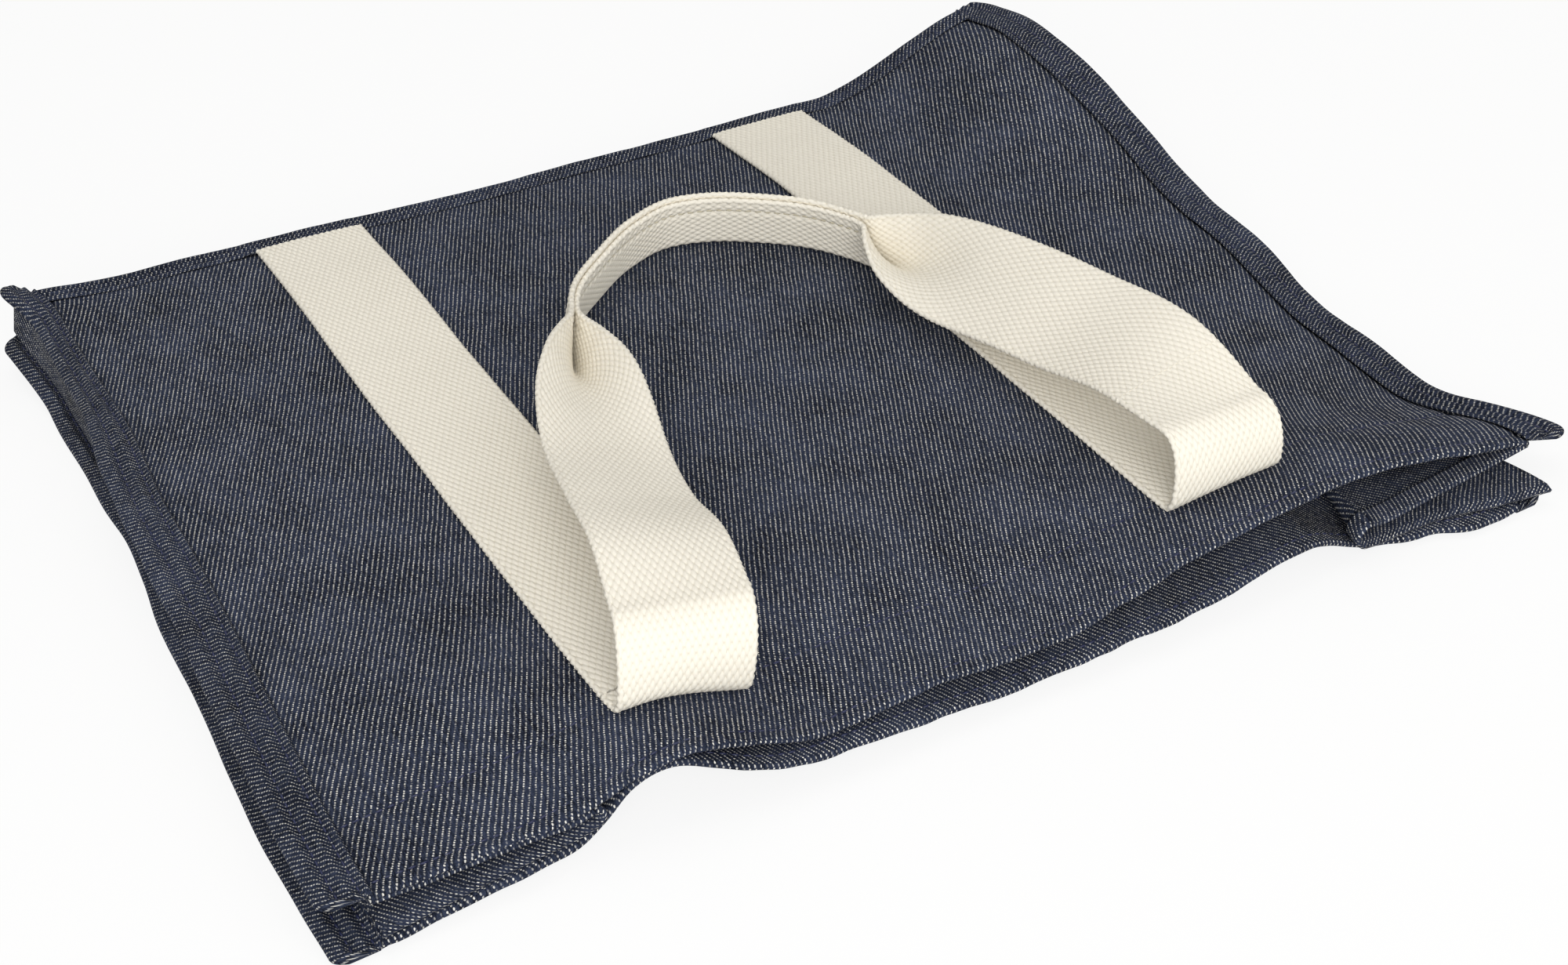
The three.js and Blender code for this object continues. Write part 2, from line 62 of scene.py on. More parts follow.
# How each face drapes. Places along an edge are shares of the half width or half length. Heights, reaches
# and moves are millimetres: the bows move the sides along X, and the mouth line moves the mouth along Y.
FRONT_DRAPE = {
    "mouth": [
        (-1, 13), (-0.75, 13.5), (-0.51, 24), (-0.3, 13),
        (-0.12, 15), (0.04, 14), (0.65, 29), (1, 15.5),
    ],
    "mouth_reach": 60,
    "base": [(-1, 26), (-0.75, 22.5), (-0.5, 21), (-0.05, 18.5), (0.6, 18), (1, 42)],
    "base_reach": 70,
    "left": [(-1, 13), (-0.4, 15), (0.2, 19), (0.6, 21), (1, 26)],
    "left_reach": 60,
    "right": [(-1, 15.5), (-0.7, 11.5), (-0.38, 10.5), (0.02, 17.5), (0.8, 46), (1, 42)],
    "right_reach": 80,
    "left_bow": [(-1, -9), (0.1, -1), (0.45, 3), (0.9, 2.5), (1, 0)],
    "right_bow": [(-1, 17.5), (-0.7, 2), (-0.45, 4.5), (0, 8.5), (0.3, 10), (0.75, 4), (1, 2)],
    "mouth_line": [(-1, 0), (-0.3, -4), (0.06, -4), (0.35, 0)],
}
BACK_DRAPE = {
    "mouth": [
        (-1, 1.2), (-0.7, 4.5), (-0.55, 16), (-0.3, 8), (0, 5.5),
        (0.3, 7.5), (0.54, 12), (0.7, 1.8), (1, 1.2),
    ],
    "mouth_reach": 60,
    "base": [(-1, 1.2), (-0.7, 4), (0.7, 4), (1, 1.2)],
    "base_reach": 60,
    "left": [(-1, 1.2), (1, 1.2)],
    "left_reach": 75,
    "right": [(-1, 1.2), (1, 1.2)],
    "right_reach": 75,
    "left_bow": [(-1, -9.5), (-0.7, -9), (-0.2, -3.5), (0.3, 2.2), (0.75, 2.5), (1, -2)],
    "right_bow": [(-1, 3), (1, 0)],
    "mouth_line": [
        (-1, 0.5), (-0.8, 2.5), (-0.54, 10.5), (-0.38, 0), (0.25, 0),
        (0.67, 5), (0.76, 0.5), (0.86, -4.5), (1, -3.5),
    ],
}
BOW_REACH = 75
SAG_REACH = 45
# Slack in the front: height and spacing of its hills, and how far the pattern is moved along X and Y
SLACK = ((0.45, 44, 31, 0), (0.2, 19, 0, 17))
# Reaches along Y of what lifts or rolls the edges: the back's corner, the tuck's bulge, the curl of the
# front's left binding at the base and the droop of its right one at the mouth
CORNER_REACH = 50
TUCK_REACH = 25
CURL_REACH = 24
DROOP_REACH = 28
# The left binding rolls under from a place along Y, over a reach, until near the base, over another
ROLL_START, ROLL_REACH = 50, 60
ROLL_END, ROLL_FADE = 20, 14
# How low roll and droop go, as shares of the curl's height, and how far they move the edge to the right
ROLL_DROP, ROLL_MOVE = 0.6, 5
DROOP_DROP, DROOP_MOVE = 0.8, 7

# Lines of the loose handles: x, y, z of the webbing's middle, tilt of its outer half in degrees,
# share that it is folded, and shift towards the outside of the loop
FRONT_LOOP = [
    (-89, -124.2, 49.9, 0, 0, 0), (-83.5, -102.3, 52.7, 7, 0, 0), (-78, -73.7, 47.3, 14, 0, 0),
    (-71, -43.4, 42, 13, 0.07, 0), (-63.4, -17, 39, 14, 0.32, 0), (-57.6, 0, 35, 14, 0.58, 0),
    (-53, 12, 30.5, 14, 0.79, 1), (-48.6, 23, 26.5, 16, 0.94, 2), (-44.5, 33, 24.6, 18, 1, 3),
    (-38.1, 44.2, 24.3, 20, 1, 3.5), (-19.5, 61.6, 24.3, 20, 1, 3.5), (0, 74.9, 24.3, 20, 1, 3.5),
    (15.8, 80, 24.3, 20, 1, 3.5), (30.7, 76.5, 24.3, 20, 1, 3.5), (44.6, 67.7, 24.3, 20, 1, 3.5),
    (58.6, 55, 24.3, 20, 1, 3.5), (68.2, 40, 24.3, 40, 1, 3), (71.6, 31, 25, 40, 0.95, 2.5),
    (74.6, 20, 28.5, 42, 0.72, 2), (77, 7, 34.5, 42, 0.42, 1), (79.3, -11, 41, 38, 0.12, 0),
    (83.7, -36.9, 46, 33, 0, 0), (87.7, -59.5, 48.2, 30, 0, 0), (91.5, -93.5, 53, 20, 0, 0),
    (93, -124.2, 49.9, 0, 0, 0),
]
BACK_LOOP = [
    (-93, -124.2, 1.25, 0, 0, 0), (-93, -112.6, 1.25, 0, 0, 0), (-83.6, -69.3, 1.25, 0, 0, 0),
    (-69.6, -20.2, 1.25, 0, 0.3, 0), (-57.7, 20.3, 1.25, 0, 1, 10), (-50.2, 39.9, 1.25, 0, 1, 10),
    (-29.8, 59, 1.25, 0, 1, 10), (0, 66, 1.25, 0, 1, 10), (29.8, 59, 1.25, 0, 1, 10),
    (50.2, 39.9, 1.25, 0, 1, 10), (57.7, 20.3, 1.25, 0, 1, 10), (69.6, -20.2, 1.25, 0, 0.3, 0),
    (83.6, -69.3, 1.25, 0, 0, 0), (93, -112.6, 1.25, 0, 0, 0), (93, -124.2, 1.25, 0, 0, 0),
]
# The half loop where the webbing turns back at the hem: share of its reach, share of its rise
TURN_LINE = [
    (0, 0), (-0.45, 0), (-0.8, 0.015), (-1, 0.12), (-1.05, 0.32),
    (-0.98, 0.6), (-0.75, 0.85), (-0.36, 0.98), (0, 1),
]

# The photograph's camera: metres, degrees, millimetres of lens, and shares of the picture's width
CAMERA_PLACE = (-0.3364, -0.6051, 0.4786)
CAMERA_TURN = (54.09, 0.0, -29.98)
CAMERA_LENS = 57.8
CAMERA_SHIFT = (0.006, 0.001)


def linear(hex_value):
    """An sRGB hex value as linear red, green, blue and full alpha."""
    parts = [int(hex_value[i:i + 2], 16) / 255 for i in (1, 3, 5)]
    return [p / 12.92 if p <= 0.04045 else ((p + 0.055) / 1.055) ** 2.4 for p in parts] + [1.0]


def length(name, description, millimetres):
    """A size that the user can change."""
    return bpy.props.FloatProperty(
        name=name, description=description, default=millimetres * MM, min=0.0, precision=4, unit="LENGTH"
    )


def colour(name, description, hex_value):
    """A colour that the user can change."""
    return bpy.props.FloatVectorProperty(
        name=name, description=description, default=linear(hex_value), size=4, min=0.0, max=1.0,
        subtype="COLOR",
    )


class BagSizes(bpy.types.PropertyGroup):
    """Sizes of the bag's cloth, webbing and thread"""

    panel_width: length("Panel width", "Width of the front and the back between their side bindings", 376)
    panel_height: length("Panel height", "Height of the front from the base binding to the mouth", 306)
    cloth_thickness: length("Denim thickness", "Thickness of the denim", 1)
    gusset_half: length("Gusset half", "Half of the gusset's width at the mouth", 56)
    tuck_length: length("Tuck length", "Length of gusset that bulges out at the base corner", 92)
    tuck_bulge: length("Tuck bulge", "How far the tuck bulges out", 4.5)
    gusset_hem: length("Gusset hem", "Depth of the narrow hem along the gussets' mouth", 7)
    left_lap: length("Left gusset lap", "How far the left gusset's fold passes the front at the mouth", 1)
    right_lap: length("Right gusset lap", "How far the right gusset's fold passes the front at the mouth", 8)
    left_loop: length("Left gusset loop", "How far the left gusset's fold stands open at the mouth", 2.3)
    right_loop: length("Right gusset loop", "How far the right gusset's fold stands open at the mouth", 5)
    corner_lift: length("Corner lift", "How far the back's left base corner stands off the floor", 8)
    corner_curl: length("Corner curl", "How far the front's left base corner curls up", 6)
    base_half: length("Base half", "Half of the base panel's depth", 56)
    base_inset: length("Base inset", "From each end of the base to the tuck beside it", 3)
    hem: length("Hem", "Depth of the cloth turned in at the mouth", 28)
    back_lap: length("Back lap", "How far the back reaches past the front at the mouth", 9)
    side_binding: length("Side binding", "Width of the side seam bindings", 13)
    base_binding: length("Base binding", "Width of the base seam bindings", 8)
    binding_thickness: length("Binding thickness", "Thickness of a bound seam", 2.4)
    webbing_width: length("Webbing width", "Width of the handle webbing", 40)
    webbing_thickness: length("Webbing thickness", "Thickness of the handle webbing", 2)
    strap_spacing: length("Strap spacing", "Distance between the middles of a handle's two legs", 186)
    turn_reach: length("Turn reach", "How far the webbing's turn stands out from the hem stitching", 11.5)
    front_level: length("Front height", "Height of the middle of the front above the floor", 22)
    back_level: length("Back height", "Height of the middle of the back above the floor", 9)
    stitch_length: length("Stitch length", "Length of thread that shows in each stitch", 2.7)
    stitch_gap: length("Stitch gap", "Gap between two stitches", 0.7)
    thread: length("Thread", "Thickness of the sewing thread", 0.7)


class BagColours(bpy.types.PropertyGroup):
    """Colours of the bag's cloth, webbing, thread and metal"""

    indigo: colour("Indigo", "Darkest warp yarn of the denim", "#11141d")
    faded: colour("Faded indigo", "Lighter warp yarn of the denim", "#363d50")
    weft: colour("Weft", "Pale weft that shows between the warp yarns", "#e4e1d9")
    cotton: colour("Cotton", "Raised yarn of the webbing", "#ece6d8")
    # Painted shade: the colour given to the hollows between the webbing's bumps, where the weave lies in
    # shadow
    cotton_painted_shade: colour("Cotton shade", "Yarn deep in the webbing's weave", "#d6cdb8")
    navy_thread: colour("Thread", "Sewing thread of the seams", "#1c244a")
    cream_thread: colour("Grip thread", "Sewing thread of the grips", "#d6cdb2")
    nickel: colour("Nickel", "Plating of the snap", "#b9b4a6")
    ferrite: colour("Ferrite", "The snap's magnet", "#3a3a3c")
    floor: colour("Floor", "The floor under the bag", "#f4f4f2")


def ease(share):
    """A smooth rise from 0 to 1."""
    held = np.clip(share, 0.0, 1.0)
    return held * held * (3.0 - 2.0 * held)


def hold(distance, reach):
    """How strongly an edge holds the cloth: 1 at the edge, falling to 0 at the reach."""
    return 1 - ease(distance / reach)


def wave(crests, place):
    """A smooth line through the crests and dips of a draped edge."""
    places, heights = np.array(crests, float).T
    at = np.clip(place, places[0], places[-1])
    i = np.clip(np.searchsorted(places, at) - 1, 0, len(places) - 2)
    return heights[i] + (heights[i + 1] - heights[i]) * ease((at - places[i]) / (places[i + 1] - places[i]))


LATTICE_SIZE = 64
LATTICE = np.random.default_rng(11).uniform(-1.0, 1.0, (LATTICE_SIZE, LATTICE_SIZE))


def ripple(x, y, spacing):
    """Soft hills and hollows of slack cloth, from -1 to 1, the given distance apart."""
    column, row = x / spacing, y / spacing
    i, j = np.floor(column).astype(int), np.floor(row).astype(int)
    across, along = ease(column - i), ease(row - j)
    corners = [[LATTICE[(j + b) % LATTICE_SIZE, (i + a) % LATTICE_SIZE] for a in (0, 1)] for b in (0, 1)]
    near = corners[0][0] + (corners[0][1] - corners[0][0]) * across
    far = corners[1][0] + (corners[1][1] - corners[1][0]) * across
    return near + (far - near) * along


def smooth_line(stations, step):
    """A smooth line through stations of three coordinates and any further values, in equal steps."""
    knots = np.array(stations, float)
    places = np.concatenate([[0], np.cumsum(np.linalg.norm(np.diff(knots[:, :3], axis=0), axis=1))])
    slopes = np.gradient(knots, places, axis=0)
    fine = np.linspace(0, places[-1], int(places[-1] / step) * 8)
    i = np.clip(np.searchsorted(places, fine, side="right") - 1, 0, len(places) - 2)
    gap = (places[i + 1] - places[i])[:, None]
    t = (fine[:, None] - places[i][:, None]) / gap
    line = (
        (2 * t**3 - 3 * t**2 + 1) * knots[i] + (t**3 - 2 * t**2 + t) * gap * slopes[i]
        + (3 * t**2 - 2 * t**3) * knots[i + 1] + (t**3 - t**2) * gap * slopes[i + 1]
    )
    along = run_length(line[:, :3])
    even = np.linspace(0, along[-1], int(round(along[-1] / step)) + 1)
    return np.stack([np.interp(even, along, values) for values in line.T], axis=1)


def run_length(points):
    """How far along a line of points each point is."""
    return np.concatenate([[0], np.cumsum(np.linalg.norm(np.diff(points, axis=0), axis=1))])


def unit(vectors):
    """The same ways, each of length 1."""
    return vectors / np.linalg.norm(vectors, axis=-1, keepdims=True)


def bell(distance, width):
    """1 at no distance, falling to 0 on both sides."""
    return np.exp(-((distance / width) ** 2))


def stretches(*parts):
    """Cut lines across or along a cloth: each part is from, to and a count of cells."""
    places = [np.linspace(start, end, count, endpoint=False) for start, end, count in parts]
    return np.concatenate([*places, [parts[-1][1]]])


class Bag:
    """Places on the bag in millimetres, worked out from the sizes that the user sets."""

    # Gaps between layers of cloth, at seams, inside folds and over the base, and the lift of a gusset's
    # seam off the back
    layer_gap = 0.4
    join_gap = 0.3
    fold_gap = 0.5
    inner_gap = 0.8
    gusset_lift = 4.6

    def __init__(self, sizes):
        for name in BagSizes.__annotations__:
            setattr(self, name, getattr(sizes, name) / MM)
        self.half_panel = self.panel_width / 2
        self.half_front = self.half_panel + self.side_binding
        self.base_y = (self.panel_height + self.base_binding + self.back_lap) / 2
        self.panel_base_y = self.base_y - self.base_binding
        self.front_mouth = self.panel_base_y - self.panel_height
        self.back_mouth = -self.base_y
        self.hem_y = self.front_mouth + self.hem
        self.tuck_y = self.base_y - self.tuck_length
        self.strap_x = self.strap_spacing / 2
        self.leg_lift = self.cloth_thickness / 2 + self.layer_gap + self.webbing_thickness / 2
        self.hem_offset = self.cloth_thickness + self.layer_gap
        self.floor_seam = self.binding_thickness / 2
        self.panel_edge = self.half_panel - self.join_gap

    def faces(self):
        """Each face's name, its places, those of its side bindings, its mouth, and the way out of it."""
        yield "front", self.front_point, self.curled_point, self.front_mouth, 1
        yield "back", self.back_point, self.floor_point, self.back_mouth, -1

    def down(self, y, mouth_y):
        """How far down a face a place is, from -1 at the mouth to 1 at the base."""
        return 2 * (y - mouth_y) / (self.base_y - mouth_y) - 1

    def draped_height(self, drape, level, mouth_y, x, y):
        """A level middle that runs out to the heights along the four edges."""
        x_share = x / self.half_front
        y_share = self.down(y, mouth_y)
        left_pull = hold(self.half_front + x, drape["left_reach"])
        right_pull = hold(self.half_front - x, drape["right_reach"])
        mouth_pull = hold(y - mouth_y, drape["mouth_reach"])
        base_pull = hold(self.base_y - y, drape["base_reach"])
        height = level
        for edge, pull in ((drape["mouth"], mouth_pull), (drape["base"], base_pull)):
            height = height + (wave(edge, x_share) - level) * pull
            height = height - (wave(edge, -1) - level) * pull * left_pull
            height = height - (wave(edge, 1) - level) * pull * right_pull
        for edge, pull in ((drape["left"], left_pull), (drape["right"], right_pull)):
            height = height + (wave(edge, y_share) - level) * pull
        return height

    def front_height(self, x, y):
        slack = sum(height * ripple(x + right, y + up, spacing) for height, spacing, right, up in SLACK)
        return self.draped_height(FRONT_DRAPE, self.front_level, self.front_mouth, x, y) + slack

    def back_height(self, x, y):
        return self.draped_height(BACK_DRAPE, self.back_level, self.back_mouth, x, y)

    def draped_point(self, drape, mouth_y, x, y, height):
        """A place on a face whose sides bow and whose mouth sags."""
        y_share = self.down(y, mouth_y)
        bow = wave(drape["right_bow"], y_share) * hold(self.half_front - x, BOW_REACH)
        bow = bow + wave(drape["left_bow"], y_share) * hold(self.half_front + x, BOW_REACH)
        sag = wave(drape["mouth_line"], x / self.half_front) * hold(y - mouth_y, SAG_REACH)
        return np.stack(np.broadcast_arrays(x + bow, y + sag, height), axis=-1)

    def front_point(self, x, y, lift):
        return self.draped_point(FRONT_DRAPE, self.front_mouth, x, y, self.front_height(x, y) + lift)

    def back_point(self, x, y, lift):
        return self.draped_point(BACK_DRAPE, self.back_mouth, x, y, self.back_height(x, y) + lift)

    def floor_point(self, x, y, lift):
        """The back's side bindings lie flat on the floor."""
        point = self.back_point(x, y, 0)
        point[..., 2] = self.floor_seam + self.corner_rise(x, y) + lift
        return point

    def corner_rise(self, x, y):
        """The tuck holds the back's left base corner off the floor."""
        return self.corner_lift * hold(self.base_y - y, CORNER_REACH) * (x < 0)

    def curled_point(self, x, y, lift):
        """The front's side bindings: the left rolls under and curls up at the base, the right droops."""
        outside = np.clip((np.abs(x) - self.half_panel) / self.side_binding, 0, 1)
        left, right = outside * (x < 0), outside * (x > 0)
        roll = left * ease((y - ROLL_START) / ROLL_REACH) * hold(y - self.base_y + ROLL_END, ROLL_FADE)
        curl = left * hold(self.base_y - y, CURL_REACH)
        droop = right * hold(y - self.front_mouth, DROOP_REACH)
        turned = self.corner_curl * (curl - ROLL_DROP * roll - DROOP_DROP * droop)
        point = self.front_point(x, y, lift + turned)
        point[..., 0] += ROLL_MOVE * roll + DROOP_MOVE * droop
        return point

    def gusset_x(self, hand, share, y):
        reach = self.gusset_half * (self.panel_base_y - y) / self.panel_height
        return hand * (self.panel_edge - reach * share)

    def facing_layers(self, y):
        """The layers between a gusset and the outside of either face."""
        hem = self.hem_offset * hold(y - self.hem_y, self.hem)
        return self.cloth_thickness + self.inner_gap + hem

    def gusset_floor(self, hand, share, y):
        return self.back_point(self.gusset_x(hand, share, y), y, self.facing_layers(y))[..., 2]

    def upper_gusset(self, hand, share, y):
        """The left gusset keeps close under the front. The right one sags onto the back at the mouth."""
        layers = self.facing_layers(y)
        seam = self.front_point(self.gusset_x(hand, 0, y), y, -layers)
        point = self.front_point(self.gusset_x(hand, share, y), y, -layers)
        highest = np.minimum(seam[..., 2], point[..., 2])
        loop = (self.right_loop if hand > 0 else self.left_loop) * self.near_mouth(y)
        lowest = self.gusset_floor(hand, share, y) + self.cloth_thickness + self.fold_gap + loop
        sag = share * ease((self.tuck_y - y) / (self.tuck_y - self.front_mouth)) * (hand > 0)
        point[..., 2] = np.maximum(highest + (lowest - highest) * sag, lowest)
        point[..., 1] -= self.gusset_lap(hand) * share * self.near_mouth(y)
        return point

    def lower_gusset(self, hand, share, y):
        """From the fold out to the back's seam, close over the back's hem."""
        point = self.upper_gusset(hand, share, y)
        floor = self.gusset_floor(hand, share, y)
        seam = self.back_point(self.gusset_x(hand, 0, y), y, self.gusset_lift)[..., 2]
        under = point[..., 2] - self.cloth_thickness - self.fold_gap
        under = floor + (under - floor) * (1 - self.near_mouth(y))
        point[..., 2] = np.maximum(seam + (under - seam) * share, floor)
        lap = self.back_lap - wave(BACK_DRAPE["mouth_line"], self.gusset_x(hand, share, y) / self.half_front)
        point[..., 1] -= (lap - self.gusset_lap(hand) * share) * (1 - share) * self.near_mouth(y)
        return point

    def gusset_lap(self, hand):
        return self.right_lap if hand > 0 else self.left_lap

    def near_mouth(self, y):
        """1 at the front's mouth, falling to 0 where the cloth lies free of it."""
        return hold(y - self.front_mouth, SAG_REACH)

    def tuck_point(self, hand, share, y):
        """The gusset's cloth at the base corner, from the back's seam up to the front's."""
        seat = self.binding_thickness / 2 + self.join_gap + self.cloth_thickness / 2
        inset = hand * (self.half_front - self.side_binding / 2)
        low = self.back_point(inset, y, seat + self.binding_thickness / 2 + self.corner_rise(inset, y))
        high = self.front_point(inset, y, -seat)
        point = low + (high - low) * share[..., None]
        bulge = self.tuck_bulge * (hand > 0) * ease((y - self.tuck_y) / TUCK_REACH)
        point[..., 0] += bulge * np.sin(np.pi * share)
        return point


def node(tree, kind, inputs=(), **settings):
    """Adds a shader node, or takes one that is there, and gives it its settings and inputs.

    An input is a value, a socket, or a node that stands for its first output.
    """
    made = kind if isinstance(kind, bpy.types.Node) else tree.nodes.new("ShaderNode" + kind)
    for name, value in settings.items():
        setattr(made, name, value)
    for name, value in dict(inputs).items():
        source = value.outputs[0] if isinstance(value, bpy.types.Node) else value
        if isinstance(source, bpy.types.NodeSocket):
            tree.links.new(source, made.inputs[name])
        else:
            made.inputs[name].default_value = source
    return made


def new_material(name):
    """An empty material, its tree and its Principled shader."""
    material = bpy.data.materials.new(name)
    material.use_nodes = True
    return material, material.node_tree, material.node_tree.nodes["Principled BSDF"]


# Yarn spacings of the denim. A line of pale weft dots climbs one yarn each way, and comes back every
# fifth yarn, so the lines are about 1.5 mm apart. Each dot strays by up to a share of its radius.
WARP_PITCH = 0.33 * MM
WEFT_PITCH = 0.67 * MM
TWILL_YARNS = 5
DOT_RADII = (0.24 * MM, 0.27 * MM)
DOT_STRAY = 0.33


def denim_material(name, colours, across_tape):
    """Cotton twill woven from indigo warp and undyed weft: dark and matt, with rows of pale dots."""
    material, tree, shader = new_material(name)
    flat = node(tree, "UVMap", uv_map="cloth")
    # Yarns waver by about a quarter of a millimetre over each 12 mm of cloth
    drift = node(tree, "TexNoise", {0: flat, "Scale": 1 / 0.012, "Detail": 2}, noise_dimensions="2D")
    sway = {0: drift.outputs["Color"], 1: (0.6 * MM, 0.4 * MM, 0), 2: flat}
    waver = node(tree, "VectorMath", sway, operation="MULTIPLY_ADD")
    place = node(tree, "SeparateXYZ", {0: waver})
    x, y = (1, 0) if across_tape else (0, 1)
    warp = node(tree, "Math", {0: place.outputs[x], 1: WARP_PITCH}, operation="DIVIDE")
    weft = node(tree, "Math", {0: place.outputs[y], 1: WEFT_PITCH}, operation="DIVIDE")
    row = node(tree, "Math", {0: weft}, operation="FLOOR")
    step = node(tree, "Math", {0: warp, 1: row}, operation="SUBTRACT")
    line = node(tree, "Math", {0: step, 1: TWILL_YARNS}, operation="DIVIDE")
    cell = node(tree, "CombineXYZ", {0: line, 1: weft})
    crossing = node(tree, "VectorMath", {0: cell}, operation="FLOOR")
    inside = node(tree, "VectorMath", {0: cell}, operation="FRACTION")
    # From the dot's middle, in radii. The dots have a fuzzy edge of fibres about 0.3 mm long, and some
    # hide under the warp.
    luck = node(tree, "TexWhiteNoise", {0: crossing}, noise_dimensions="2D")
    wide, high = TWILL_YARNS * WARP_PITCH / DOT_RADII[0], WEFT_PITCH / DOT_RADII[1]
    middle = (-wide / 2 - DOT_STRAY, -high / 2 - DOT_STRAY, 0)
    centred = node(tree, "VectorMath", {0: inside, 1: (wide, high, 0), 2: middle}, operation="MULTIPLY_ADD")
    stray = {0: luck.outputs["Color"], 1: (2 * DOT_STRAY, 2 * DOT_STRAY, 0), 2: centred}
    strayed = node(tree, "VectorMath", stray, operation="MULTIPLY_ADD")
    radius = node(tree, "VectorMath", {0: strayed}, operation="LENGTH").outputs["Value"]
    fibre = node(tree, "TexNoise", {0: flat, "Scale": 1 / 0.0003, "Detail": 1}, noise_dimensions="2D")
    ragged = node(tree, "Math", {0: fibre, 1: 1.2, 2: radius}, operation="MULTIPLY_ADD")
    edge = {0: ragged, 1: 1.05, 2: 1.85, 3: 1.0, 4: 0.0}
    round_dot = node(tree, "MapRange", edge, interpolation_type="SMOOTHSTEP")
    bright = node(tree, "MapRange", {0: luck, 3: 0.15, 4: 0.75 if across_tape else 1.0})
    shown = node(tree, "Math", {0: round_dot, 1: bright}, operation="MULTIPLY")

    # Uneven dye: each warp yarn has its own shade wherever it floats between two dots, and the cloth has
    # cloudy patches some 25 mm wide
    yarn = node(tree, "Math", {0: warp}, operation="FLOOR")
    line_number = node(tree, "Math", {0: line}, operation="FLOOR")
    float_place = node(tree, "CombineXYZ", {0: yarn, 1: line_number})
    float_shade = node(tree, "TexWhiteNoise", {0: float_place}, noise_dimensions="2D")
    cloud = node(tree, "TexNoise", {0: flat, "Scale": 1 / 0.025, "Detail": 3}, noise_dimensions="2D")
    patch = node(tree, "Math", {0: cloud, 1: fibre}, operation="ADD")
    dye = node(tree, "Math", {0: float_shade, 1: 0.6, 2: patch}, operation="MULTIPLY_ADD")
    fade = node(tree, "MapRange", {0: dye, 1: 0.8, 2: 1.8})
    dyed = node(tree, "Mix", {6: colours.indigo, 7: colours.faded, 0: fade}, data_type="RGBA")
    cloth = node(tree, "Mix", {6: dyed.outputs[2], 7: colours.weft, 0: shown}, data_type="RGBA")

    # Round warp yarns, with the twill's slanting ribs 0.15 mm deep
    slant = node(tree, "Math", {0: warp, 1: weft}, operation="SUBTRACT")
    rib = node(tree, "Math", {0: slant, 1: 2 * math.pi / TWILL_YARNS}, operation="MULTIPLY")
    ridge = node(tree, "Math", {0: rib}, operation="COSINE")
    height = node(tree, "Math", {0: ridge, 1: -0.3, 2: float_shade}, operation="MULTIPLY_ADD")
    bump = node(tree, "Bump", {"Height": height, "Distance": 0.15 * MM, "Strength": 0.7})
    matt = {"Roughness": 0.95, "Specular IOR Level": 0.05}
    node(tree, shader, {"Base Color": cloth.outputs[2], "Normal": bump, **matt})
    return material


# The webbing's raised yarns lie in a staggered pattern, 18 of them across its 40 mm
BUMP_ACROSS = 40 / 18
BUMP_ALONG = 4.0


def webbing_material(name, colours):
    """Thick undyed cotton webbing: matt cream yarns in staggered bumps, with painted shade in the hollows.
    """
    material, tree, shader = new_material(name)
    flat = node(tree, "UVMap", uv_map="cloth")
    # Each bump is a dome, on one of two lattices that stand half a spacing apart
    per_metre = (1 / (BUMP_ACROSS * MM), 1 / (BUMP_ALONG * MM), 0)
    domes = []
    for shift in (0.5, 1.0):
        lattice = {0: flat, 1: per_metre, 2: (shift, shift, 0)}
        cell = node(tree, "VectorMath", lattice, operation="MULTIPLY_ADD")
        inside = node(tree, "VectorMath", {0: cell}, operation="FRACTION")
        centred = {0: inside, 1: (2.2, 2.0, 0), 2: (-1.1, -1.0, 0)}
        offset = node(tree, "VectorMath", centred, operation="MULTIPLY_ADD")
        domes.append(node(tree, "VectorMath", {0: offset}, operation="LENGTH").outputs["Value"])
    nearest = node(tree, "Math", {0: domes[0], 1: domes[1]}, operation="MINIMUM")
    fall = node(tree, "Math", {0: nearest, 1: 2.0}, operation="POWER")
    swell = node(tree, "Math", {0: 1.0, 1: fall}, operation="SUBTRACT")
    # Single yarns in a bump, about 0.4 mm thick and 2 mm long, and cloudy ageing some 30 mm wide
    yarn_place = node(tree, "VectorMath", {0: flat, 1: (1 / 0.0004, 1 / 0.002, 0)}, operation="MULTIPLY")
    yarn = node(tree, "TexNoise", {0: yarn_place, "Scale": 1}, noise_dimensions="2D")
    cloud = node(tree, "TexNoise", {0: flat, "Scale": 1 / 0.03, "Detail": 2}, noise_dimensions="2D")
    depth = node(tree, "Math", {0: yarn, 1: 0.35, 2: swell}, operation="MULTIPLY_ADD")
    # The colour runs from painted shade in the hollows between the domes to cream on their tops, varied by
    # single yarns and cloudy ageing
    ageing_and_shade_depth = node(tree, "Math", {0: cloud, 1: 0.3, 2: depth}, operation="MULTIPLY_ADD")
    painted_shade_and_ageing = node(tree, "MapRange", {0: ageing_and_shade_depth, 1: 0.0, 2: 0.9})
    tone = node(tree, "Mix", {6: colours.cotton_painted_shade, 7: colours.cotton, 0: painted_shade_and_ageing}, data_type="RGBA")
    bump = node(tree, "Bump", {"Height": depth, "Distance": 0.4 * MM, "Strength": 0.7})
    matt = {"Roughness": 0.9, "Specular IOR Level": 0.15}
    node(tree, shader, {"Base Color": tone.outputs[2], "Normal": bump, **matt})
    return material


def thread_material(name, colours, dye):
    """Twisted polyester sewing thread: a slight gloss, with painted shade between its plies."""
    material, tree, shader = new_material(name)
    shade = getattr(colours, dye)
    place = node(tree, "TexCoord").outputs["Object"]
    # Plies about 0.5 mm apart along the thread, with painted shade between them
    plies = node(tree, "TexNoise", {0: place, "Scale": 1 / 0.0005, "Detail": 1})
    ply_painted_shade = [value * 0.55 for value in shade[:3]] + [1.0]
    tone = node(tree, "Mix", {6: ply_painted_shade, 7: shade, 0: plies}, data_type="RGBA")
    node(tree, shader, {"Base Color": tone.outputs[2], "Roughness": 0.55})
    return material


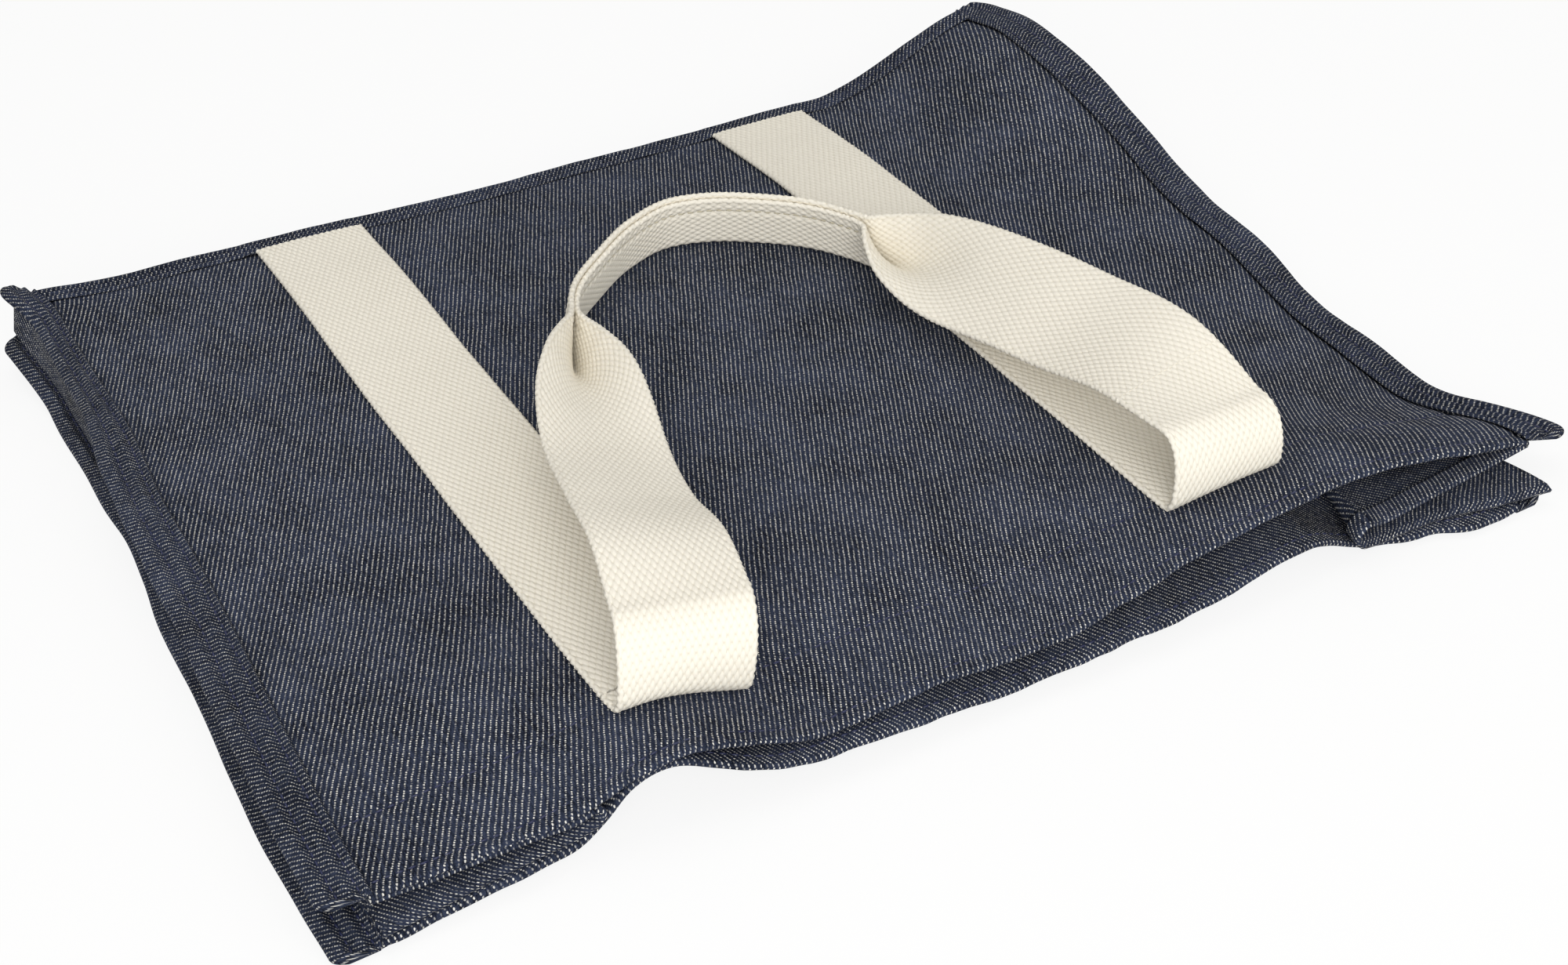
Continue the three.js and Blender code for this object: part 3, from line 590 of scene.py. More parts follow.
def metal_material(name, colours, metal, metallic, roughness):
    """Pressed and plated steel or sintered ferrite: faint brush marks that vary the gloss."""
    material, tree, shader = new_material(name)
    place = node(tree, "TexCoord").outputs["Object"]
    # Press and polish marks about 0.3 mm wide
    marks = node(tree, "TexNoise", {0: place, "Scale": 1 / 0.0003, "Detail": 2})
    gloss = node(tree, "MapRange", {0: marks, 3: roughness * 0.8, 4: min(1.0, roughness * 1.2)})
    node(tree, shader, {"Base Color": getattr(colours, metal), "Roughness": gloss, "Metallic": metallic})
    return material


FINISHES = {
    "indigo_denim_twill": (denim_material, False),
    "indigo_denim_tape": (denim_material, True),
    "cotton_webbing": (webbing_material,),
    "navy_polyester_thread": (thread_material, "navy_thread"),
    "cream_polyester_thread": (thread_material, "cream_thread"),
    "nickel_plated_steel": (metal_material, "nickel", 1.0, 0.3),
    "sintered_ferrite": (metal_material, "ferrite", 0.0, 0.6),
}


def finish_of(name):
    """The bag's finish of that name, made when it is first needed."""
    make, *settings = FINISHES[name]
    return bpy.data.materials.get(name) or make(name, bpy.context.scene.bag_colours, *settings)


def show(name, shape, material):
    """Makes a bmesh an object of the scene with its material."""
    mesh = bpy.data.meshes.new(name)
    shape.to_mesh(mesh)
    shape.free()
    mesh.materials.append(material)
    piece = bpy.data.objects.new(name, mesh)
    bpy.context.scene.collection.objects.link(piece)
    return piece


def lay_cloth(name, points, flat, finish, thickness=0.0):
    """Lays a grid of cloth: points[row, column] in millimetres, flat[row, column] on the uncut cloth.

    With no thickness the grid's sides meet, and its ends are closed.
    """
    rows, columns = points.shape[:2]
    shape = bmesh.new()
    bmesh.ops.create_grid(shape, x_segments=columns - 1, y_segments=rows - 1, size=1)
    uv = shape.loops.layers.uv.new("cloth")
    spots = (flat.reshape(-1, 2) * MM).tolist()
    for face in shape.faces:
        face.smooth = True
        for loop in face.loops:
            loop[uv].uv = spots[loop.vert.index]
    for vert, point in zip(shape.verts, (points.reshape(-1, 3) * MM).tolist()):
        vert.co = point
    if not thickness:
        bmesh.ops.remove_doubles(shape, verts=shape.verts, dist=1e-7)
        ends = [edge for edge in shape.edges if edge.is_boundary]
        bmesh.ops.holes_fill(shape, edges=ends, sides=0)
        for edge in ends:
            edge.smooth = False
        bmesh.ops.recalc_face_normals(shape, faces=shape.faces)
    piece = show(name, shape, finish_of(finish))
    if thickness:
        wall = piece.modifiers.new("thickness", "SOLIDIFY")
        wall.thickness = thickness * MM
        wall.offset = 0.0
    return piece


def hem_fold(distance, radius):
    """Where cloth lies that turns in at the mouth: how far from the edge, and how far inwards.

    distance is along the cloth from the fold, and below 0 on the turned part.
    """
    quarter = radius * math.pi / 2
    angle = np.clip(distance / radius, -math.pi / 2, math.pi / 2)
    from_edge = radius - radius * np.cos(angle) + np.maximum(np.abs(distance) - quarter, 0)
    return from_edge, radius - radius * np.sin(angle)


# The hem's two stitch lines from the mouth's edge, how deep and wide the thread draws the cloth in, how
# wide, high and far apart the puckers beside it are, with their squeeze across and along, and how the
# cloth puffs up between the two lines. The fine rows of cloth end below the hem.
HEM_STITCHES = (4.0, 26.0)
STITCH_DIP, STITCH_WIDTH = 0.5, 1.1
PUCKER_WIDTH, PUCKER_HEIGHT, PUCKER_SPACING = 6, 0.35, 9
PUCKER_SQUEEZE = (1.6, 0.6)
PUFF = 0.35
HEM_ROWS_END = 32
# How far and how wide the side seams draw the cloth in, and the size, depth and spacing of the waver in the
# mouth's edge
SEAM_PULL, SEAM_WIDTH = 0.9, 2.5
EDGE_WAVER, EDGE_DEPTH, EDGE_SPACING = 0.5, 3, 8


def face_cloth(name, bag, point, mouth_y, inwards, hem):
    """A face of the bag in one cloth with its turned hem. inwards is the side that the hem turns to."""
    radius = bag.hem_offset / 2
    bend = radius * math.pi / 2
    far = bag.panel_base_y - bag.join_gap - mouth_y - radius + bend
    across = np.linspace(-bag.panel_edge, bag.panel_edge, 194)
    along = stretches(
        (-(hem - radius + bend), -bend, 14), (-bend, bend, 8),
        (bend, HEM_ROWS_END, 24), (HEM_ROWS_END, far, 140),
    )
    u, v = np.meshgrid(across, along)
    from_edge, turned = hem_fold(v, radius)
    dip = sum(STITCH_DIP * bell(from_edge - line, STITCH_WIDTH) for line in HEM_STITCHES)
    pucker = sum(bell(from_edge - line, PUCKER_WIDTH) for line in HEM_STITCHES)
    pucker = pucker * ripple(u * PUCKER_SQUEEZE[0], v * PUCKER_SQUEEZE[1], PUCKER_SPACING)
    puff = PUFF * np.sin(np.pi * np.clip((from_edge - HEM_STITCHES[0]) / np.diff(HEM_STITCHES), 0, 1))
    seam = SEAM_PULL * bell(bag.panel_edge - np.abs(u), SEAM_WIDTH)
    shaped = (dip - puff + PUCKER_HEIGHT * pucker) * (v > 0) + seam
    waver = EDGE_WAVER * ripple(u, 0 * v, EDGE_SPACING) * (from_edge < EDGE_DEPTH)
    points = point(u, mouth_y + from_edge + waver, inwards * (turned + shaped))
    piece = lay_cloth(name, points, np.stack([u, v], axis=-1), "indigo_denim_twill", bag.cloth_thickness)
    return piece, (2 * bag.panel_edge * MM, (along[-1] - along[0]) * MM)


# A bound seam: height of its stitch grooves, of the crests beside them and of its start, as shares of half
# its thickness; where its top starts on the panel and has its first crest; where its underside ends and how
# far it then rises to the panel; and the height above which a point is on its top
STITCH_GROOVE = 0.45
TAPE_CREST, TAPE_EDGE_CREST, TAPE_START_HEIGHT = 1.6, 1.7, 0.7
TAPE_START, FIRST_CREST = -1.5, -0.6
TAPE_UNDER, TAPE_UNDER_RISE = 0.25, 0.2
TAPE_TOP = 0.5
# The first stitch line's distance from the panel, and the second one's as a share of the seam's width
NEAR_STITCH, FAR_STITCH = 1.1, 0.52


def binding_section(width, thickness):
    """The ring of a bound seam as distance outwards from the panel and height, with stitch dips on top."""
    half = thickness / 2
    round_start = width - half
    near, far = binding_stitches(width)
    crests = [
        (TAPE_START, TAPE_START_HEIGHT), (FIRST_CREST, TAPE_CREST), (near, STITCH_GROOVE),
        ((near + far) / 2, TAPE_CREST), (far, STITCH_GROOVE),
        ((far + round_start) / 2, TAPE_EDGE_CREST), (round_start, 1.0),
    ]
    top = np.linspace(TAPE_START, round_start, 34)
    bend = np.radians(np.linspace(90, -90, 9)[1:-1])
    bottom = np.linspace(round_start, TAPE_UNDER, 6)
    closed = [TAPE_UNDER, TAPE_UNDER, TAPE_START], [0, TAPE_UNDER_RISE, TAPE_START_HEIGHT * half]
    outwards = np.concatenate([top, round_start + half * np.cos(bend), bottom, closed[0]])
    heights = np.concatenate([wave(crests, top) * half, half * np.sin(bend), 0 * bottom - half, closed[1]])
    return outwards, heights


def binding_stitches(width):
    """Where a bound seam's two stitch lines run, outwards from the panel's edge."""
    return NEAR_STITCH, width * FAR_STITCH


def round_end(distance, radius):
    """1 along a strip, falling to 0 round a quarter circle at its end."""
    left = np.clip(1 - distance / radius, 0, 1)
    return np.sqrt(1 - left * left)


def lay_tape(name, points, section, along):
    """Lays a bound seam, rows of its section at places along it."""
    around = run_length(np.stack(section, axis=1))
    flat = np.stack(np.meshgrid(around, along - along[0]), axis=-1)
    piece = lay_cloth(name, points, flat, "indigo_denim_tape")
    return piece, (around[-1] / 2 * MM, (along[-1] - along[0]) * MM)


# Lengths at the mouth and the base where a side binding has fine rows, the shares of its width and
# thickness that are left at its very ends, the reach of its thin ends, the size and spacing of the waver in
# its edge, with a shift that tells left from right, and of the waver in its top
TAPE_MOUTH, TAPE_BASE = 12, 14
END_WIDTH, END_THICKNESS = 0.35, 0.25
THIN_REACH = 1.2
TAPE_WANDER, WANDER_SPACING, WANDER_SHIFT = 0.7, 22, 40
TAPE_WAVER, WAVER_SPACING = 0.2, 9
# The base binding's ends stay clear of the side bindings
TAPE_INSET = 0.2
# Rise of the base binding over a leg of webbing, and how far its slope reaches in and out from the leg
LEG_SWELL, LEG_SLOPE_IN, LEG_SLOPE = 1.3, 1, 5


def side_binding(name, bag, hand, point, mouth_y, base_corner, mouth_corner):
    """The folded-over seam along one side, rounded at its two corners."""
    outwards, heights = section = binding_section(bag.side_binding, bag.binding_thickness)
    fine, coarse = mouth_y + TAPE_MOUTH, bag.base_y - TAPE_BASE
    along = stretches((mouth_y, fine, 16), (fine, coarse, 140), (coarse, bag.base_y, 18))
    t, y = np.meshgrid(outwards, along)
    from_mouth, from_base = y - mouth_y, bag.base_y - y
    width = END_WIDTH + (1 - END_WIDTH) * round_end(from_base, base_corner)
    width = width * (END_WIDTH + (1 - END_WIDTH) * round_end(from_mouth, mouth_corner))
    thin = round_end(np.minimum(from_mouth, from_base), THIN_REACH)
    full = END_THICKNESS + (1 - END_THICKNESS) * thin
    lift = heights[None, :] * full + TAPE_WAVER * ripple(t * 2, y, WAVER_SPACING) * (heights > TAPE_TOP)
    wander = TAPE_WANDER * ripple(0 * t, y + WANDER_SHIFT * hand, WANDER_SPACING)
    wander = wander * np.clip(t / bag.side_binding, 0, 1)
    points = point(hand * (bag.half_panel + np.where(t > 0, t * width, t) + wander), y, lift)
    return lay_tape(name, points, section, along)


def base_binding(name, bag, point, up):
    """The folded-over seam along the base, with a swelling where each leg of webbing goes into it."""
    outwards, heights = section = binding_section(bag.base_binding, bag.binding_thickness)
    along = np.linspace(-bag.panel_edge + TAPE_INSET, bag.panel_edge - TAPE_INSET, 200)
    t, x = np.meshgrid(outwards, along)
    from_leg = np.abs(np.abs(x) - bag.strap_x) - bag.webbing_width / 2
    swell = LEG_SWELL * hold(from_leg + LEG_SLOPE_IN, LEG_SLOPE) * (heights[None, :] > TAPE_TOP)
    swell = swell * np.clip((bag.base_binding - t) / bag.base_binding, 0, 1)
    lift = heights[None, :] + TAPE_WAVER * ripple(x, t * 2, WAVER_SPACING) * (heights > TAPE_TOP) + swell
    points = point(x, bag.panel_base_y + t, up * lift)
    points[..., 2] = np.maximum(points[..., 2], 0)
    return lay_tape(name, points, section, along)


# Grid steps along and across the webbing, four or five to each bump, and the height of the bumps
WEB_STEP = BUMP_ALONG / 5
WEB_COLUMNS = 72
BUMP_HEIGHT = 0.36
# The selvedges are corded in scallops beside a gutter, and the grip is sewn along a seam below them
SELVEDGE = 2.0
SCALLOP, SCALLOP_DEPTH = 2.4, 0.22
GUTTER_DEPTH, GUTTER_WIDTH = 0.25, 0.6
GRIP_SEAM = 5.2
SEAM_DIP, SEAM_DIP_WIDTH = 0.5, 0.8


def webbing_surface(name, bag, rows, start, folded=0.0):
    """Webbing of full thickness round its middle sheet, rows[row, column], with its raised weave.

    folded is 1 along the grip, where a seam presses the two halves together.
    """
    half = bag.webbing_width / 2
    middle = np.array(rows)
    u = np.linspace(-half, half, middle.shape[1])[None, :]
    v = start + run_length(middle[:, middle.shape[1] // 2])[:, None]
    across = unit(np.gradient(middle, axis=1))
    out = unit(np.cross(np.gradient(middle, axis=0), across))
    weave = 0.5 + 0.5 * np.cos(2 * np.pi * u / BUMP_ACROSS) * np.cos(2 * np.pi * v / BUMP_ALONG)
    rope = np.clip((np.abs(u) - half + SELVEDGE) / SELVEDGE, 0, 1)
    cord = 0.5 + 0.5 * np.cos(2 * np.pi * (v / SCALLOP + u / (2 * SELVEDGE)))
    weave = np.where(rope > 0, cord, weave)
    gutter = GUTTER_DEPTH * bell(half - SELVEDGE - np.abs(u), GUTTER_WIDTH)
    seam = SEAM_DIP * folded * bell(half - GRIP_SEAM - np.abs(u), SEAM_DIP_WIDTH)
    flush = bag.webbing_thickness / 2 - BUMP_HEIGHT / 2
    full = (flush + BUMP_HEIGHT * weave - gutter - seam) * np.sqrt(1 - rope**4)
    scallop = SCALLOP_DEPTH * np.cos(2 * np.pi * v / SCALLOP) * np.sign(u) * rope
    edge = middle + across * scallop[..., None]
    top = edge + out * full[..., None]
    bottom = edge - out * full[..., None]
    points = np.concatenate([top, bottom[:, -2::-1]], axis=1)
    columns = np.concatenate([u[0], u[0, -2::-1]])
    flat = np.stack(np.broadcast_arrays(columns[None, :], v), axis=-1)
    piece = lay_cloth(name, points, flat, "cotton_webbing")
    return piece, (bag.webbing_width * MM, float(v[-1, 0] - v[0, 0]) * MM)


# How far the grip's fold lies off the webbing's middle, so that the far selvedge stands above the near
# one, how many degrees the grip leans to the inside of the loop, the half width of the fold where it is
# open and where it is tight, and how far past the edge the back's fold starts, as a share
GRIP_OFFSET = 0.6
GRIP_LEAN = 10.0
OPEN_FOLD, TIGHT_FOLD = 13, 1.9
FOLD_START = 1.15


def loop_rows(bag, stations, face):
    """The loose handle from its left turn to its right one, as rows of points across the webbing."""
    line = smooth_line(stations, WEB_STEP)
    travel = unit(np.gradient(line[:, :3], axis=0))
    outer = unit(np.stack([-travel[:, 1], travel[:, 0], 0 * travel[:, 0]], axis=1))
    raised = np.cross(travel, outer)
    half = bag.webbing_width / 2
    u = np.linspace(-half, half, WEB_COLUMNS + 1)
    tilt, folded, shift = line[:, 3:4], np.clip(line[:, 4:5], 0, 1), line[:, 5:6]
    if face == "front":
        # The two halves close upwards like a book, round a fold that tightens
        inner_angle = tilt + (GRIP_LEAN - 90 - tilt) * folded
        outer_angle = tilt + (GRIP_LEAN + 90 - tilt) * folded
        zone = OPEN_FOLD + (TIGHT_FOLD - OPEN_FOLD) * folded
        turned = ease((u[None, :] + GRIP_OFFSET * folded + zone) / (2 * zone))
    else:
        # The outer half folds over flat, along a fold that moves in from the edge
        inner_angle, outer_angle = 0 * tilt, 180 + 0 * tilt
        at = half * (1 - folded) * FOLD_START
        turned = ease((u[None, :] - at + TIGHT_FOLD) / (2 * TIGHT_FOLD))
    angle = np.radians(inner_angle + (outer_angle - inner_angle) * turned)
    step = u[1] - u[0]
    middle = len(u) // 2
    section = []
    for way in (np.cos(angle), np.sin(angle)):
        walked = np.cumsum((way[:, 1:] + way[:, :-1]) / 2 * step, axis=1)
        walked = np.concatenate([0 * way[:, :1], walked], axis=1)
        section.append(walked - walked[:, middle:middle + 1])
    if face == "back":
        section[1] -= section[1][:, :1]
    sideways = section[0] + shift
    rows = line[:, None, :3] + sideways[..., None] * outer[:, None] + section[1][..., None] * raised[:, None]
    return rows, folded, outer


# The front's left leg isn't sewn quite straight: place along it, and how far it strays to the right
LEG_SWAY = [(-1, -2), (-0.5, -1.5), (0, -0.5), (0.9, 2)]


def leg_rows(bag, hand, point, lift, start_y, end_y):
    """A leg of webbing sewn on a face, from start_y down to end_y."""
    half = bag.webbing_width / 2
    across = hand * bag.strap_x + np.linspace(-half, half, WEB_COLUMNS + 1)
    count = int(round(abs(end_y - start_y) / WEB_STEP)) + 1
    x, y = np.meshgrid(across, np.linspace(start_y, end_y, count))
    if hand < 0 and lift > 0:
        x = x + wave(LEG_SWAY, (y - bag.hem_y) / (bag.base_y - bag.hem_y) * 2 - 1)
    return point(x, y, lift)


# Share by which the turn stands out more on its right side and less on its left. A turn of little rise
# reaches no further past the hem than a share of its rise.
TURN_SKEW = 0.1
TURN_SLACK = 0.45


def turn_rows(bag, point, lift, leg, run):
    """The half loop at the hem, from the last row of the leg on the face to the first row of the run."""
    half = bag.webbing_width / 2
    start_x, end_x, run_z = leg[:, 0].mean(), run[:, 0].mean(), run[:, 2].mean()
    lean = math.atan2(run[-1, 1] - run[0, 1], run[-1, 0] - run[0, 0])
    offsets = np.linspace(-half, half, WEB_COLUMNS + 1)
    rise = abs(run_z - leg[:, 2].mean())
    full_reach = min(bag.turn_reach, TURN_SLACK * rise)
    scaled = [(0, reach * full_reach, share * rise, share) for reach, share in TURN_LINE]
    line = smooth_line(scaled, WEB_STEP)
    share = np.clip(line[:, 3:4], 0, 1)
    turned = ease(np.linspace(0, 1, len(line)))[:, None]
    angle = lean * turned
    middle = start_x + (end_x - start_x) * turned
    reach = line[:, 1:2] * (1 + TURN_SKEW * offsets / half)
    x = middle + offsets * np.cos(angle) - reach * np.sin(angle)
    y = bag.hem_y + offsets * np.sin(angle) + reach * np.cos(angle)
    rows = point(x, y, lift)
    rows[..., 2] += (run_z - rows[..., 2]) * share
    rows[..., 0] = x
    rows[..., 1] = y
    return rows


def stitch(shape, start, end, lift, thread):
    """One stitch of thread, as a slim grain that dips into the cloth at both ends."""
    along = end - start
    side = along.cross(lift).normalized()
    turn = Matrix((along.normalized(), side, lift.normalized())).transposed().to_4x4()
    size = Matrix.Diagonal((along.length / 2, thread / 2, thread / 2, 1))
    place = Matrix.Translation((start + end) / 2)
    bmesh.ops.create_icosphere(shape, subdivisions=1, radius=1, matrix=place @ turn @ size)


def sew(shape, bag, line, raised):
    """Stitches along a line of points in millimetres. raised is the way out of the cloth at each point."""
    along = run_length(line)
    pitch = bag.stitch_length + bag.stitch_gap
    way = np.broadcast_to(raised, line.shape)
    for first in np.arange(0, along[-1] - bag.stitch_length, pitch):
        start, end, out = (
            Vector([np.interp(place, along, values[:, axis]) for axis in range(3)])
            for place, values in ((first, line), (first + bag.stitch_length, line), (first, way))
        )
        stitch(shape, start * MM, end * MM, out, bag.thread * MM)


def finish_thread(name, shape, finish):
    for face in shape.faces:
        face.smooth = True
    return show(name, shape, finish_of(finish))


def declare(piece, flat, held, slot, rests_on, *nodes, **cut):
    """Hides the solids that a piece stands for."""
    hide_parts(*nodes)


class BAG_OT_faces(bpy.types.Operator):
    """Front and back of the bag, each one cloth with its turned hem"""

    bl_idname = "bag.faces"
    bl_label = "Front and Back"

    def execute(self, context):
        bag = Bag(context.scene.bag_sizes)
        front, flat = face_cloth("front_cloth", bag, bag.front_point, bag.front_mouth, -1, bag.hem)
        declare(front, flat, "laid", "denim", ["back_cloth"], "front_panel", "front_hem")
        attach(front, "front")
        back, flat = face_cloth("back_cloth", bag, bag.back_point, bag.back_mouth, 1, bag.hem + bag.back_lap)
        declare(back, flat, "laid", "denim", ["floor"], "back_panel", "back_hem")
        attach(back, "back")
        return {"FINISHED"}


# Radius of the base panel's fold
BASE_TURN = 6.0


class BAG_OT_base(bpy.types.Operator):
    """Base panel, folded in half inwards between the two faces"""

    bl_idname = "bag.base"
    bl_label = "Folded Base"

    def execute(self, context):
        bag = Bag(context.scene.bag_sizes)
        lift = bag.floor_seam + bag.inner_gap + bag.cloth_thickness / 2
        seam = bag.panel_base_y - bag.join_gap
        fold = bag.panel_base_y - bag.base_half + BASE_TURN
        angle = np.radians(np.linspace(-90, 90, 13))
        runs = np.linspace(seam, fold, 24)
        line_y = np.concatenate([runs[:-1], fold - BASE_TURN * np.cos(angle), runs[-2::-1]])
        line_share = np.concatenate([0 * runs[:-1], 0.5 + 0.5 * np.sin(angle), 1 + 0 * runs[1:]])
        half_base = bag.half_front - bag.side_binding / 2 - bag.base_inset
        across = np.linspace(-half_base, half_base, 140)
        x, y = np.meshgrid(across, line_y)
        low = bag.back_height(x, y) + lift
        high = bag.front_height(x, y) - lift
        points = np.stack([x, y, low + (high - low) * line_share[:, None]], axis=-1)
        along = run_length(points[:, points.shape[1] // 2])
        flat = np.stack(np.meshgrid(across, along), axis=-1)
        piece = lay_cloth("base_cloth", points, flat, "indigo_denim_twill", bag.cloth_thickness)
        size = (np.ptp(across) * MM, along[-1] * MM)
        declare(piece, size, "folded", "denim_inside", ["back_cloth"], "base_panel")
        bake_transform(piece)
        return {"FINISHED"}


# Ends of the lines that a gusset would bend along: how far in from the front's seam on its upper half, and
# where the line at its fold starts and ends, square to the fold. Nothing bends the gusset along them.
SEAM_BEND = 14
FOLD_BEND = (-1.0, 5.0)


class BAG_OT_gussets(bpy.types.Operator):
    """Side gussets, folded inwards, and the tucks at the base corners"""

    bl_idname = "bag.gussets"
    bl_label = "Side Gussets"

    def execute(self, context):
        bag = Bag(context.scene.bag_sizes)
        for side, hand in SIDES:
            self.halves(bag, side, hand)
            self.tuck(bag, side, hand)
        return {"FINISHED"}

    def halves(self, bag, side, hand):
        """The half under the front, and the half over the back with the fold between the two."""
        rows = np.linspace(bag.front_mouth, bag.tuck_y, 112)
        shares, y = np.meshgrid(np.linspace(0, 1, 28), rows)
        upper = bag.upper_gusset(hand, shares, y)
        lower = bag.lower_gusset(hand, shares, y)[:, ::-1]
        high, low = upper[:, -1:, 2], lower[:, :1, 2]
        middle, radius = (high + low) / 2, (high - low) / 2
        angle = np.radians(np.linspace(90, -90, 13)[:-1])[None, :]
        bend = np.repeat(upper[:, -1:], angle.size, axis=1)
        bend[..., 0] -= hand * radius * np.cos(angle)
        bend[..., 2] = middle + radius * np.sin(angle)
        under = np.concatenate([bend, lower], axis=1)
        top, bottom = f"{side}_gusset_top", f"{side}_gusset_bottom"
        seam_x = hand * bag.panel_edge
        seam_ends = (seam_x, 0, 0), (seam_x - hand * SEAM_BEND, 0, 0)
        fold_ends = self.fold_ends(hand, bag.gusset_x(hand, 1, rows), rows)
        for half, points, bodies, ends in (
            ("upper", upper, ("front", top), seam_ends),
            ("lower", under, (top, bottom), fold_ends),
        ):
            piece = self.lay(bag, f"{side}_gusset_{half}", self.hemmed(bag, points, hand))
            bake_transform(piece)

    def hemmed(self, bag, points, hand):
        """Adds the narrow hem at the mouth, turned to the side that faces the panels."""
        away = unit(np.cross(np.gradient(points, axis=0), np.gradient(points, axis=1))) * hand
        turned = np.linspace(-bag.gusset_hem, 0, 12)[:-1]
        radius = bag.hem_offset / 2
        from_edge, offset = hem_fold(turned, radius)
        rows = np.linalg.norm(points[1] - points[0], axis=-1).mean()
        places = np.clip(from_edge / rows, 0, len(points) - 1)
        first = np.floor(places).astype(int)
        share = (places - first)[:, None, None]
        on_cloth = points[first] * (1 - share) + points[first + 1] * share
        hem = on_cloth + away[first] * offset[:, None, None]
        lift = hem_fold(np.arange(len(points)) * rows, radius)[1]
        return np.concatenate([hem, points + away * lift[:, None, None]])

    def lay(self, bag, name, points):
        across = np.stack([run_length(row) for row in points])
        along = run_length(points[:, points.shape[1] // 2])
        flat = np.stack(np.broadcast_arrays(across, along[:, None]), axis=-1)
        piece = lay_cloth(f"{name}_cloth", points, flat, "indigo_denim_twill", bag.cloth_thickness)
        size = (float(across.max()) * MM, float(along[-1]) * MM)
        area = float(across[:, -1].mean() * along[-1]) * MM * MM
        declare(piece, size, "folded", "denim_inside", ["back_cloth"], name, area=area)
        return piece

    def fold_ends(self, hand, tip_x, rows):
        """Two points square to the fold line: just inside it, and where the lower half is free of it."""
        line = unit(np.array([tip_x[-1] - tip_x[0], rows[-1] - rows[0], 0.0]))
        square = np.array([line[1], -line[0], 0.0]) * hand
        return [np.array([tip_x[0], rows[0], 0.0]) + square * reach for reach in FOLD_BEND]

    def tuck(self, bag, side, hand):
        rows = np.linspace(bag.tuck_y + bag.fold_gap, bag.base_y - bag.join_gap, 48)
        share, y = np.meshgrid(np.linspace(0, 1, 22), rows)
        piece = self.lay(bag, f"{side}_gusset_tuck", bag.tuck_point(hand, share, y))
        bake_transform(piece)


# How far each side binding is rounded at its base corner and at its mouth corner
TAPE_CORNERS = (("left", -1, 7.0, 4.0), ("right", 1, 10.0, 7.0))


class BAG_OT_bindings(bpy.types.Operator):
    """Bound seams along the sides and the base of both faces"""

    bl_idname = "bag.bindings"
    bl_label = "Seam Bindings"

    def execute(self, context):
        bag = Bag(context.scene.bag_sizes)
        for face, point, side_point, mouth_y, up in bag.faces():
            for side, hand, *corners in TAPE_CORNERS:
                name = f"{face}_{side}_binding"
                tape = side_binding(f"{name}_tape", bag, hand, side_point, mouth_y, *corners)
                self.sew_on(face, name, tape)
            name = f"{face}_base_binding"
            self.sew_on(face, name, base_binding(f"{name}_tape", bag, point, up))
        return {"FINISHED"}

    def sew_on(self, face, name, tape):
        """Hides the solids that a tape stands for, and fixes it to its face."""
        piece, flat = tape
        declare(piece, flat, "folded", "binding", [f"{face}_cloth"], name)
        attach(piece, face)


# How far the thread's middle lies above the drawn-in cloth of the grip, the hem's two sides and the tapes
GRIP_PROUD, HEM_PROUD, INSIDE_PROUD, TAPE_PROUD = 0.1, 0.15, 0.05, 0.2
# How much of the leg and of the run each turn takes in, so that the bend is one piece of webbing, and the
# gap from the leg's end to the base binding. The grip is sewn where the webbing is nearly folded, and the
# thread shows a bit later.
TURN_SHARE = 20.0
LEG_GAP = 1.4
SEWN_FROM = 0.9
THREAD_FROM = 0.97


